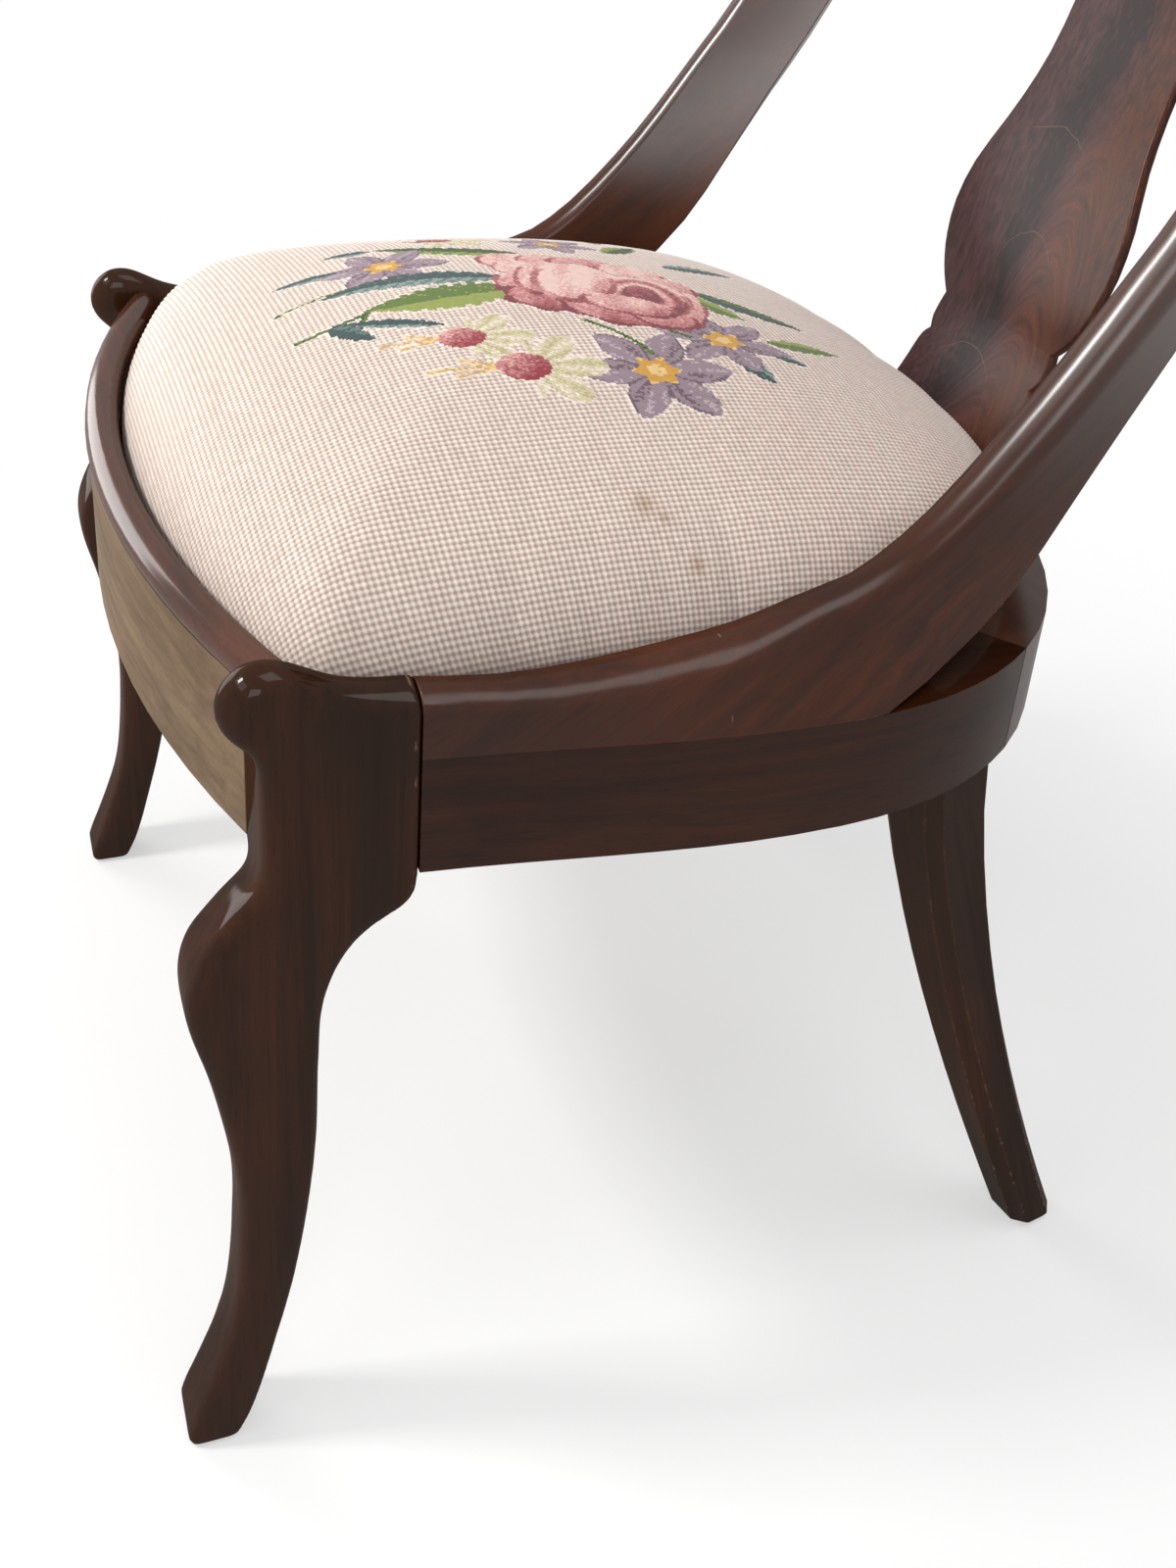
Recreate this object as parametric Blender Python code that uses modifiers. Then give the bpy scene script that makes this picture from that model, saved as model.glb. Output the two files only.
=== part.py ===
"""Side chair with sweeping stiles, sabre rear legs and a drop-in needlework seat.

Lengths are metres. While it is built the chair faces -Y, with x = 0 on its middle plane and y = 0 at
the tips of the front toes. At the end the whole chair is centred over the origin.
"""

from math import cos, pi, radians, sin, sqrt

import bmesh
import bpy
from mathutils import Matrix, Vector

# Clearances
FIT = 0.0003
SEAT_CLEARANCE = 0.0015

# Seat frame in plan
FRONT_HALF_WIDTH = 0.235
BELLY_SWELL = 0.015
LEG_JOINT_Y = 0.099
BELLY_Y = 0.250
REAR_Y = 0.450
REAR_FULLNESS = 2.4
FLARE_SLOPE = 0.079
REAR_JOINT_ANGLE = radians(33.0)

# Rails
RAIL_BOTTOM_Z = 0.303
RAIL_HEIGHT = 0.051
RAIL_THICKNESS = 0.048
FRONT_BOW = 0.034
FRONT_RAIL_HEIGHT = 0.069
FRONT_RAIL_THICKNESS = 0.040
LEDGE_DEPTH = 0.014
BEAD_HEIGHT = 0.013
BEAD_OVERHANG = 0.0012
BEAD_SPRING = 0.28
BEAD_EDGE = 0.0015

# Front legs
LEG_THICKNESS = 0.040
LEG_TAPER = 0.008
LEG_FACE_Y = 0.0405
NUB_Y = 0.0440
NUB_RADIUS = 0.0195
NUB_RISE = 0.0250
KNEE_SLANT = 0.010
KNEE_START = 0.86
KNEE_RUN = 0.10
LEG_SHELF_SHARE = 0.965
LEG_FACE_RISE = 0.003
TOE_EDGE = 0.001
NUB_ROUNDING = 0.50
NUB_REACH = 0.62
NUB_BLEND = 6
NUB_LET_OUT = 0.25
EDGE_SOFTENING = 0.0015

# Rear legs
REAR_LEG_ANGLE = radians(24.3)
REAR_LEG_SETBACK = 0.003
REAR_LEG_TOP_WIDTH = 0.047
REAR_LEG_FOOT_WIDTH = 0.0265
REAR_LEG_TOP_THICKNESS = 0.031
REAR_LEG_FOOT_THICKNESS = 0.027
REAR_LEG_SWEEP_BACK = 0.106
REAR_LEG_SWEEP_OUT = 0.0065
REAR_LEG_FOOT_TURN = radians(10.0)
REAR_LEG_CORNER = 0.006
REAR_LEG_SWEEP_POWER = 1.35
REAR_LEG_WIDTH_POWER = 1.9
REAR_LEG_CHAMFER = 0.002
REAR_LEG_CHAMFER_SHARE = 0.012
REAR_TENON_WIDTH = 0.026
REAR_TENON_THICKNESS = 0.018
REAR_TENON_LENGTH = 0.024
REAR_TENON_CORNER = 0.002

# Stiles
STILE_THICKNESS = 0.022
STILE_NOSE_DEPTH = 0.0085
LIFT_OFF_Y = 0.286
LIFT_OFF_RISE = 0.056
STILE_FOOT_FALL = 0.3

# Back
SPLAT_THICKNESS = 0.010
SPLAT_SETBACK = 0.0115
SPLAT_EDGE = 0.0012
SPLAT_RIM_THICKNESS = 0.0045
SPLAT_CHAMFER_WIDTH = 0.0085
SPLAT_TENON_HALF_WIDTH = 0.038
SPLAT_TENON_LENGTH = 0.020
SPLAT_TENON_THICKNESS = 0.006
BACK_DRAWN_RISE = 0.390
CREST_TOP_Z = 0.815
CREST_HEIGHT = 0.087
CREST_ARCH_RISE = 0.016
CREST_END_DROP = 0.026
CREST_THICKNESS = 0.028
CREST_INSET = 0.023
CREST_FRONT_Y = 0.460
CREST_DEPTH = 0.1115
CREST_FULLNESS = 2.2
CREST_START_POWER = 0.9
CREST_ARCH_START = 0.30
CREST_ARCH_RUN = 0.35
CREST_END_SETBACK = 0.013
STILE_TOP_SETBACK = 0.016
STILE_TOP_WIDTH = 0.048

# Drop-in seat
SEAT_FRONT_WALL = 0.016
SEAT_SIDE_GAP = 0.0085
SEAT_SIDE_BOW = 0.004
SEAT_TURN_Y = 0.270
SEAT_REAR_GAP = 0.0145
SEAT_FULLNESS = 3.2
SEAT_CORNER = 0.016
SEAT_CENTRE_Y = 0.225
COVER_THICKNESS = 0.002
HEM_WIDTH = 0.036
SLIP_THICKNESS = 0.018
SLIP_FRONT_BOARD_Y = 0.088
SLIP_REAR_BOARD_Y = 0.362
SLIP_SIDE_BOARD_X = 0.148
SLIP_TENON_SHOULDER = 0.003
SLIP_TENON_WIDTH = 0.016
SLIP_TENON_LENGTH = 0.018
SLIP_TENON_THICKNESS = 0.007
WEBBING_WIDTH = 0.050
WEBBING_THICKNESS = 0.0016
WEBBING_LAP = 0.030
WEBBING_STRIPS = 3
HESSIAN_THICKNESS = 0.0010
HESSIAN_INSET = 0.012
SEAT_EDGE_RISE = 0.026
SEAT_EDGE_SHARE = 0.80
SEAT_CROWN = 0.060
SEAT_FLATNESS = 2.3
DOME_SHARES = (1.0, 0.996, 0.975, 0.93, 0.86, 0.74, 0.58, 0.40, 0.20)

# Fixings
DOWEL_DIAMETER = 0.009
DOWEL_DEPTH = 0.024
REAR_DOWEL_DEPTH = 0.010
STILE_DOWEL_DIAMETER = 0.007
STILE_DOWEL_DEPTH = 0.014
STILE_DOWEL_Y = (0.160, 0.235)
DOWEL_SIDES = 10
LOW_DOWEL_RISE = 0.012
HIGH_DOWEL_DROP = 0.009
BLOCK_CLEARANCE = 0.004
FRONT_BLOCK_WIDTH = 0.067
FRONT_BLOCK_LENGTH = 0.053
REAR_BLOCK_START = radians(5.0)
REAR_BLOCK_END = radians(56.0)
FRONT_SCREW_INSET = 0.043
SIDE_SCREW_SETBACK = 0.028
REAR_SCREW_ANGLES = (REAR_BLOCK_START + radians(5.0), REAR_BLOCK_END - radians(9.0))
SCREW_HEAD_DIAMETER = 0.009
SCREW_SHANK_DIAMETER = 0.0045
SCREW_HEAD_HEIGHT = 0.003
SCREW_GRIP = 0.016
SCREW_TIP = 0.004
SCREW_SIDES = 8
SCREW_HEADROOM = 0.030

# Heights and places that follow from the sizes above
RAIL_TOP_Z = RAIL_BOTTOM_Z + RAIL_HEIGHT
LEDGE_Z = RAIL_TOP_Z - LEDGE_DEPTH
FRONT_RAIL_TOP_Z = RAIL_BOTTOM_Z + FRONT_RAIL_HEIGHT
LEG_INNER_X = FRONT_HALF_WIDTH - LEG_THICKNESS
BELLY_HALF_WIDTH = FRONT_HALF_WIDTH + BELLY_SWELL
CREST_HALF_WIDTH = FRONT_HALF_WIDTH - CREST_INSET
CREST_REAR_Y = CREST_FRONT_Y + CREST_DEPTH
CREST_END_Y = CREST_FRONT_Y + CREST_END_SETBACK
STILE_TOP_FRONT_Y = CREST_FRONT_Y + STILE_TOP_SETBACK
STILE_TOP_REAR_Y = STILE_TOP_FRONT_Y + STILE_TOP_WIDTH
SPLAT_BASE_Y = REAR_Y - SPLAT_SETBACK
SEAT_REAR_Y = SPLAT_BASE_Y - SEAT_REAR_GAP
SPLAT_HEAD_LEAN = CREST_REAR_Y - 0.5 * SPLAT_THICKNESS - SPLAT_BASE_Y
CREST_END_Z = CREST_TOP_Z - CREST_HEIGHT
CREST_ARCH_Z = CREST_END_Z + CREST_ARCH_RISE
BACK_SCALE = (CREST_ARCH_Z - RAIL_TOP_Z - LIFT_OFF_RISE) / (BACK_DRAWN_RISE - LIFT_OFF_RISE)
STILE_INNER_X = FRONT_HALF_WIDTH - STILE_THICKNESS
SEAT_HALF_WIDTH = STILE_INNER_X - SEAT_SIDE_GAP
FRONT_BLOCK_REACH_X = LEG_INNER_X - FRONT_BLOCK_WIDTH
FRONT_BLOCK_REACH_Y = LEG_JOINT_Y + FRONT_BLOCK_LENGTH
FRONT_SCREW_X = LEG_INNER_X - FRONT_SCREW_INSET
SIDE_SCREW_Y = LEG_JOINT_Y + SIDE_SCREW_SETBACK
SLIP_BOTTOM_Z = LEDGE_Z + FIT + COVER_THICKNESS + FIT
SLIP_TOP_Z = SLIP_BOTTOM_Z + SLIP_THICKNESS
LENGTHWISE_Z = SLIP_TOP_Z + FIT
CROSSWISE_Z = LENGTHWISE_Z + WEBBING_THICKNESS + FIT
HESSIAN_Z = CROSSWISE_Z + WEBBING_THICKNESS + FIT
STUFFING_Z = HESSIAN_Z + HESSIAN_THICKNESS + FIT
SEAT_SIDE_TOP_Z = STUFFING_Z + COVER_THICKNESS + FIT

# Front edge of the front leg below the rail: distance back from the toe, share of the height
LEG_FRONT_SWEEP = (
    (0.0395, 1.000), (0.0245, 0.950), (0.0115, 0.860), (0.0105, 0.790), (0.0180, 0.690),
    (0.0260, 0.528), (0.0272, 0.420), (0.0228, 0.248), (0.0140, 0.140), (0.0000, 0.012),
)
# Rear edge of the front leg, from the heel up to the ledge under the side rail
LEG_REAR_SWEEP = (
    (0.0224, 0.000), (0.0341, 0.094), (0.0502, 0.298), (0.0597, 0.523), (0.0616, 0.693),
    (0.0640, 0.805), (0.0757, 0.894), (0.0952, 0.948),
)
# Top of the front leg behind its nub: y, height over the rail
LEG_CROWN = ((0.083, 0.0298), (0.0708, 0.0328), (0.0605, 0.0375), (0.0520, 0.0424))
# Stile while it lies on the rail: y and height of its top edge, lean of its outer face, y of its foot
STILE_ON_RAIL = (
    (LEG_JOINT_Y, 0.0275, 0.0000, LEG_JOINT_Y), (0.133, 0.0245, 0.0000, 0.133),
    (0.166, 0.0260, 0.0015, 0.166), (0.200, 0.0302, 0.0045, 0.200), (0.230, 0.0355, 0.0080, 0.233),
    (0.253, 0.0430, 0.0115, 0.264), (0.268, 0.0475, 0.0132, LIFT_OFF_Y),
)
# Free part of the stile, front and rear edge: distance in from the front legs' outer faces, y, height over
# the rail. The heights of the stiles and the splat are drawn for BACK_DRAWN_RISE.
STILE_FREE = (
    ((0.0115, 0.2890, LIFT_OFF_RISE), (0.0175, 0.3220, 0.0110)),
    ((0.0125, 0.3120, 0.0735), (0.0245, 0.3490, 0.0316)),
    ((0.0135, 0.3385, 0.1010), (0.0350, 0.3785, 0.0670)),
    ((0.0140, 0.3612, 0.1290), (0.0385, 0.4000, 0.1020)),
    ((0.0145, 0.3866, 0.1645), (0.0405, 0.4250, 0.1450)),
    ((0.0155, 0.4054, 0.1920), (0.0425, 0.4450, 0.1780)),
    ((0.0175, 0.4280, 0.2360), (0.0450, 0.4700, 0.2260)),
    ((0.0205, 0.4520, 0.2960), (0.0490, 0.4960, 0.2910)),
)
# Height over the rail and distance back from the foot of the splat's front face
SPLAT_LEAN = ((0.0, 0.0), (0.026, 0.0197), (0.046, 0.0313), (0.066, 0.0388), (0.106, 0.0468), (0.146, 0.0582),
              (0.206, 0.0800), (0.296, 0.1065), (BACK_DRAWN_RISE, SPLAT_HEAD_LEAN))
# Outline of the splat as three lobes: height over the rail, half width
SPLAT_LOBES = (
    ((0.000, 0.0515), (0.022, 0.0535), (0.034, 0.0552), (0.041, 0.0545), (0.045, 0.0508)),
    ((0.046, 0.0512), (0.051, 0.0543), (0.058, 0.0545), (0.065, 0.0528)),
    ((0.066, 0.0540), (0.073, 0.0605), (0.082, 0.0662), (0.094, 0.0708), (0.112, 0.0736), (0.134, 0.0705),
     (0.160, 0.0605), (0.184, 0.0540), (0.210, 0.0512), (0.250, 0.0525), (0.300, 0.0590)),
)
SPLAT_TOP_HALF_WIDTH = 0.064

MAHOGANY = (0.060, 0.022, 0.014)
MAHOGANY_RED = (0.105, 0.036, 0.020)
BEECH = (0.42, 0.28, 0.16)
PINE = (0.50, 0.34, 0.19)
STEEL = (0.25, 0.24, 0.23)
JUTE = (0.33, 0.24, 0.13)
HAIR = (0.10, 0.075, 0.055)
WOOL = (0.66, 0.52, 0.45)

SIGNS = (1, -1)


def smooth(t):
    """Ease from 0 to 1 as t goes from 0 to 1."""
    t = min(max(t, 0.0), 1.0)
    return t * t * (3.0 - 2.0 * t)


def spline(points, steps):
    """Smooth curve through the points, with the given number of steps between neighbours."""
    vectors = [Vector(p) for p in points]
    ends = [2.0 * vectors[0] - vectors[1]] + vectors + [2.0 * vectors[-1] - vectors[-2]]
    curve = []
    for a, b, c, d in zip(ends, ends[1:], ends[2:], ends[3:]):
        for i in range(steps):
            t = i / steps
            curve.append(0.5 * (2.0 * b + (c - a) * t + (2.0 * a - 5.0 * b + 4.0 * c - d) * t * t
                                + (3.0 * b - a - 3.0 * c + d) * t * t * t))
    return curve + [vectors[-1]]


def along(points, x):
    """Value at x on the smooth curve through points of (x, value)."""
    curve = spline(points, 8)
    for a, b in zip(curve, curve[1:]):
        if x <= b.x:
            return a.y + (b.y - a.y) * max(x - a.x, 0.0) / (b.x - a.x)
    return curve[-1].y


def oval(half_width, front_y, rear_y, fullness, angle):
    """Point on a full oval corner; angle 0 is at the side and a quarter turn is at the rear."""
    power = 2.0 / fullness
    side = max(cos(angle), 0.0) ** power
    back = max(sin(angle), 0.0) ** power
    return Vector((half_width * side, front_y + (rear_y - front_y) * back))


def rail_half_width(y):
    """Half width over the outer faces of the legs and side rails."""
    if y <= LEG_JOINT_Y:
        return FRONT_HALF_WIDTH
    if y <= BELLY_Y:
        length = BELLY_Y - LEG_JOINT_Y
        t = (y - LEG_JOINT_Y) / length
        ease = FLARE_SLOPE * length * t * (1.0 - t) ** 2
        return FRONT_HALF_WIDTH + (BELLY_HALF_WIDTH - FRONT_HALF_WIDTH) * smooth(t) + ease
    share = (y - BELLY_Y) / (REAR_Y - BELLY_Y)
    return BELLY_HALF_WIDTH * (1.0 - share ** REAR_FULLNESS) ** (1.0 / REAR_FULLNESS)


def rail_corner(angle):
    """Point on the outer face of the round back of the seat frame."""
    return oval(BELLY_HALF_WIDTH, BELLY_Y, REAR_Y, REAR_FULLNESS, angle)


def inward_at(angle):
    """Unit vector into the seat, square to the round back."""
    step = 0.01
    tangent = rail_corner(angle + step) - rail_corner(angle - step)
    return Vector((-tangent.y, tangent.x)).normalized()


def inset(angle, distance):
    """Point behind the outer face of the round back."""
    return rail_corner(angle) + inward_at(angle) * distance


def front_face_y(x):
    """Front face of the bowed front rail."""
    radius = (LEG_INNER_X ** 2 + FRONT_BOW ** 2) / (2.0 * FRONT_BOW)
    return LEG_FACE_Y - FRONT_BOW + radius - sqrt(radius ** 2 - x ** 2)


def mirrored(points):
    """Closed outline from its +X half, which starts and ends on the middle plane."""
    return list(points) + [Vector((-p[0], p[1])) for p in reversed(points[1:-1])]


def seat_outline(inset_by):
    """Outline of the drop-in seat, moved inwards by a distance."""
    def side_x(y):
        run = (y - LEG_JOINT_Y) / (SEAT_TURN_Y - LEG_JOINT_Y)
        return SEAT_HALF_WIDTH - inset_by + SEAT_SIDE_BOW * sin(pi * min(max(run, 0.0), 1.0))

    def front_y(x):
        return front_face_y(x) + SEAT_FRONT_WALL + inset_by

    corner_x = side_x(LEG_FACE_Y)
    front_end = corner_x - SEAT_CORNER
    side_start = front_y(corner_x) + SEAT_CORNER
    half = [Vector((front_end * i / 7, front_y(front_end * i / 7))) for i in range(8)]
    corner = Vector((corner_x, front_y(corner_x)))
    side_point = Vector((side_x(side_start), side_start))
    for i in range(1, 4):
        t = i / 4
        half.append((1 - t) ** 2 * half[7] + 2 * t * (1 - t) * corner + t * t * side_point)
    half += [Vector((side_x(y), y)) for y in
             (side_start + (SEAT_TURN_Y - side_start) * i / 6 for i in range(6))]
    rear = SEAT_REAR_Y - inset_by
    half += [oval(SEAT_HALF_WIDTH - inset_by, SEAT_TURN_Y, rear, SEAT_FULLNESS, 0.5 * pi * i / 9)
             for i in range(10)]
    return mirrored(half)


def drop_objects():
    """Empty the scene."""
    for old in list(bpy.data.objects):
        bpy.data.objects.remove(old, do_unlink=True)


def collection(name):
    """New collection in the scene."""
    made = bpy.data.collections.new(name)
    bpy.context.scene.collection.children.link(made)
    return made


drop_objects()
CHAIR = collection("side_chair")
CUTTERS = collection("cutters")
ROOT = bpy.data.objects.new("chair_root", None)
CHAIR.objects.link(ROOT)
SEAT_ORIGIN = bpy.data.objects.new("slip_seat_origin", None)
SEAT_ORIGIN.location = (0.0, SEAT_CENTRE_Y, LEDGE_Z)
SEAT_ORIGIN.parent = ROOT
CHAIR.objects.link(SEAT_ORIGIN)


def finish(name, colour, roughness, metallic=0.0):
    """Principled material for one piece."""
    material = bpy.data.materials.new(name + "_finish")
    material.use_nodes = True
    shader = material.node_tree.nodes["Principled BSDF"]
    shader.inputs["Base Color"].default_value = (*colour, 1.0)
    shader.inputs["Roughness"].default_value = roughness
    shader.inputs["Metallic"].default_value = metallic
    return material


def piece(name, mesh, colour, roughness=0.35, metallic=0.0, at=(0.0, 0.0, 0.0), carrier=ROOT):
    """Named piece of the chair at a place in the chair's frame."""
    made = bpy.data.objects.new(name, mesh)
    made.data.name = name
    made.data.materials.clear()
    made.data.materials.append(finish(name, colour, roughness, metallic))
    made.parent = carrier
    made.location = Vector(at) - (SEAT_ORIGIN.location if carrier is SEAT_ORIGIN else Vector())
    made.data.shade_smooth()
    made.data.set_sharp_from_angle(angle=radians(35.0))
    CHAIR.objects.link(made)
    return made


def cutter(name, mesh, at=(0.0, 0.0, 0.0)):
    """Shape that is cut away from pieces and is no piece itself."""
    made = bpy.data.objects.new(name, mesh)
    made.parent = ROOT
    made.location = at
    made.hide_render = True
    made.display_type = "WIRE"
    CUTTERS.objects.link(made)
    return made


def cut(made, *tools):
    """Cut the tools away from a piece."""
    for tool in tools:
        boolean = made.modifiers.new(tool.name, "BOOLEAN")
        boolean.operation = "DIFFERENCE"
        boolean.solver = "EXACT"
        boolean.object = tool


def mesh_from(bm, name="shape"):
    """Mesh with its faces pointing out, from an edited shape."""
    bmesh.ops.recalc_face_normals(bm, faces=bm.faces)
    mesh = bpy.data.meshes.new(name)
    bm.to_mesh(mesh)
    bm.free()
    return mesh


def evaluated_mesh(made):
    """Mesh of a helper object after its modifiers, and the helper removed."""
    bpy.context.scene.collection.objects.link(made)
    depsgraph = bpy.context.evaluated_depsgraph_get()
    mesh = bpy.data.meshes.new_from_object(made.evaluated_get(depsgraph))
    bpy.data.objects.remove(made, do_unlink=True)
    bm = bmesh.new()
    bm.from_mesh(mesh)
    bmesh.ops.remove_doubles(bm, verts=bm.verts, dist=0.00001)
    return mesh_from(bm)


def plate(outline, thickness):
    """Flat outline in plan, with its thickness to both sides of z = 0."""
    curve = bpy.data.curves.new("outline", "CURVE")
    curve.dimensions = "2D"
    curve.fill_mode = "BOTH"
    curve.extrude = 0.5 * thickness
    line = curve.splines.new("POLY")
    line.points.add(len(outline) - 1)
    for point, place in zip(line.points, outline):
        point.co = (place[0], place[1], 0.0, 1.0)
    line.use_cyclic_u = True
    return evaluated_mesh(bpy.data.objects.new("outline", curve))


def turned(profile, sides):
    """Turned shape from (radius, height) pairs that run from its top to its bottom."""
    bm = bmesh.new()
    row = [bm.verts.new((radius, 0.0, height)) for radius, height in profile]
    for a, b in zip(row, row[1:]):
        bm.edges.new((a, b))
    mesh = bpy.data.meshes.new("profile")
    bm.to_mesh(mesh)
    bm.free()
    made = bpy.data.objects.new("profile", mesh)
    screw = made.modifiers.new("turn", "SCREW")
    screw.steps = sides
    screw.render_steps = sides
    screw.use_merge_vertices = True
    screw.merge_threshold = 0.00005
    return evaluated_mesh(made)


def loft(rings, capped=True):
    """Skin over rings with the same number of points; a ring of one point closes to a tip."""
    bm = bmesh.new()
    rows = [[bm.verts.new(p) for p in ring] for ring in rings]
    for a, b in zip(rows, rows[1:]):
        count = max(len(a), len(b))
        for i in range(count):
            j = (i + 1) % count
            corners = [a[i % len(a)], a[j % len(a)], b[j % len(b)], b[i % len(b)]]
            bm.faces.new(list(dict.fromkeys(corners)))
    if capped:
        bm.faces.new(rows[0])
        bm.faces.new(rows[-1])
    return mesh_from(bm)


def group(template, places):
    """One mesh of separate copies of a template, each at a place, for a cutter."""
    bm = bmesh.new()
    for place in places:
        copy = template.copy()
        copy.transform(place)
        bm.from_mesh(copy)
        bpy.data.meshes.remove(copy)
    return mesh_from(bm)


def pointing(at, direction):
    """Place whose z axis points along a direction."""
    turn = Vector(direction).to_track_quat("Z", "Y").to_matrix().to_4x4()
    return Matrix.Translation(Vector(at)) @ turn


def pins(ends, diameter, spare=0.0):
    """Round pins between pairs of points, made larger all round by a spare."""
    bm = bmesh.new()
    for start, end in ends:
        run = Vector(end) - Vector(start)
        radius = 0.5 * diameter + spare
        middle = 0.5 * (Vector(start) + Vector(end))
        bmesh.ops.create_cone(bm, cap_ends=True, segments=DOWEL_SIDES, radius1=radius, radius2=radius,
                              depth=run.length + 2.0 * spare, matrix=pointing(middle, run))
    return mesh_from(bm)


def dowels(base, ends, diameter):
    """Dowels on both sides of the chair, from those on the +X side, and the cutter for their holes."""
    every = []
    for sign in SIGNS:
        for number, pair in enumerate(ends, 1):
            placed = tuple((sign * p[0], p[1], p[2]) for p in pair)
            every.append(placed)
            piece("%s_%d" % (side_name(base, sign), number), pins([placed], diameter), BEECH, 0.7)
    return cutter(base + "_holes", pins(every, diameter, FIT))


def side_name(base, sign):
    """Name of a piece on the sitter's left (+X) or right."""
    return base + ("_left" if sign > 0 else "_right")


def seat_recess():
    """Cutter for the room that the drop-in seat takes in the frame."""
    height = FRONT_RAIL_TOP_Z + BEAD_HEIGHT + NUB_RADIUS - LEDGE_Z
    return cutter("seat_recess", plate(seat_outline(-SEAT_CLEARANCE), height),
                  (0.0, 0.0, LEDGE_Z + 0.5 * height))


def front_leg_outline():
    """Side view of a front leg as (y, z): its crown, its nub and the rest, round from the rear top."""
    height = RAIL_BOTTOM_Z
    nub_z = RAIL_TOP_Z + NUB_RISE
    joint_y = LEG_JOINT_Y - FIT
    top = [(joint_y, RAIL_TOP_Z + STILE_ON_RAIL[0][1])]
    top += [(y, RAIL_TOP_Z + rise) for y, rise in LEG_CROWN]
    nub = [Vector((NUB_Y - NUB_RADIUS * sin(a), nub_z + NUB_RADIUS * cos(a)))
           for a in (radians(degrees) for degrees in range(0, 163, 18))]
    front = spline([(y, share * height) for y, share in LEG_FRONT_SWEEP], 3)
    rear = spline([(y, share * height) for y, share in LEG_REAR_SWEEP], 3)
    rest = [Vector((LEG_FACE_Y, nub_z - NUB_RADIUS)), Vector((LEG_FACE_Y, height + LEG_FACE_RISE))]
    rest += front + [Vector((TOE_EDGE, 0.0))] + rear
    rest += [Vector((joint_y, height * LEG_SHELF_SHARE)), Vector((joint_y, RAIL_TOP_Z))]
    return spline(top, 2), nub, rest


def front_leg_mesh(sign):
    """Front leg: a sawn scroll, thinner at the foot, whose crown and nub are as thick as the stile."""
    crown, nub, rest = front_leg_outline()
    outline = crown + nub + rest
    head = len(crown) + len(nub)
    swell = [smooth(1.0 - (len(crown) - i) / NUB_BLEND) for i in range(len(crown))]
    swell += [min(1.0, NUB_LET_OUT * (len(nub) - i)) for i in range(len(nub))]
    depths = [STILE_NOSE_DEPTH + s * (NUB_ROUNDING * NUB_RADIUS - STILE_NOSE_DEPTH) for s in swell]
    depths += [EDGE_SOFTENING] * (len(rest) - 2) + [0.0] * 2
    reaches = [NUB_REACH * STILE_THICKNESS] * head + [EDGE_SOFTENING] * (len(rest) - 2) + [0.0] * 2
    inner_reaches = [(1.0 - NUB_REACH) * STILE_THICKNESS - FIT] * head
    count = len(outline)
    inward = []
    for i in range(count):
        run = outline[(i + 1) % count] - outline[i - 1]
        inward.append(Vector((-run.y, run.x)).normalized())
    inward[0] = Vector((0.0, -1.0))
    neck_y = NUB_Y + NUB_RADIUS
    shelf = [Vector((crown[0].x + (neck_y - crown[0].x) * i / (len(crown) - 1), RAIL_TOP_Z))
             for i in range(len(crown))]
    shelf += [Vector((neck_y + (LEG_FACE_Y - neck_y) * (i + 0.5) / (len(nub) - 0.5), FRONT_RAIL_TOP_Z))
              for i in range(len(nub))]
    turns = [radians(30.0 * i) for i in range(4)]
    rings = []
    for turn in turns:
        places = [p + n * d * (1.0 - sin(turn)) for p, n, d in zip(outline, inward, depths)]
        rings.append([(FRONT_HALF_WIDTH - r * (1.0 - cos(turn)), p.x, p.y) for p, r in zip(places, reaches)])
    for turn in reversed(turns):
        places = [p + n * d * (1.0 - sin(turn)) for p, n, d in zip(outline, inward, depths[:head])]
        ring = [(STILE_INNER_X + r * (1.0 - cos(turn)), p.x, p.y) for p, r in zip(places, inner_reaches)]
        x = STILE_INNER_X + 0.5 * STILE_THICKNESS * (1.0 - cos(turn))
        rings.append(ring + [(x, p.x, p.y) for p in rest])
    for turn in reversed(turns):
        x = LEG_INNER_X + EDGE_SOFTENING * (1.0 - cos(turn))
        shelf_x = STILE_INNER_X if turn == turns[-1] else x
        ring = [(shelf_x, p.x, p.y) for p in shelf]
        for p, n, d in zip(rest, inward[head:], depths[head:]):
            place = p + n * d * (1.0 - sin(turn))
            ring.append((x if d else LEG_INNER_X, place.x, place.y))
        rings.append(ring)
    bm = bmesh.new()
    bm.from_mesh(loft([[(sign * x, y, z) for x, y, z in ring] for ring in rings]))
    shoulder_z = RAIL_BOTTOM_Z - FIT
    bmesh.ops.bisect_plane(bm, geom=bm.verts[:] + bm.edges[:] + bm.faces[:], dist=0.00001,
                           plane_co=(0.0, 0.0, shoulder_z), plane_no=(0.0, 0.0, 1.0))
    for vert in bm.verts:
        z = vert.co.z
        across = (FRONT_HALF_WIDTH - EDGE_SOFTENING - abs(vert.co.x)) / (LEG_THICKNESS - 2.0 * EDGE_SOFTENING)
        across = min(max(across, 0.0), 1.0)
        vert.co.x += sign * across * LEG_TAPER * max(1.0 - z / shoulder_z, 0.0)
        if vert.co.y < LEG_FACE_Y + EDGE_SOFTENING and z < RAIL_TOP_Z:
            vert.co.z -= across * KNEE_SLANT * smooth((z / shoulder_z - KNEE_START) / KNEE_RUN)
    bmesh.ops.remove_doubles(bm, verts=bm.verts, dist=0.00001)
    return mesh_from(bm)


def rail_outline(outer, inner):
    """Closed outline of a curved rail from its outer and inner edge."""
    return list(outer) + list(reversed(inner))


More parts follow.
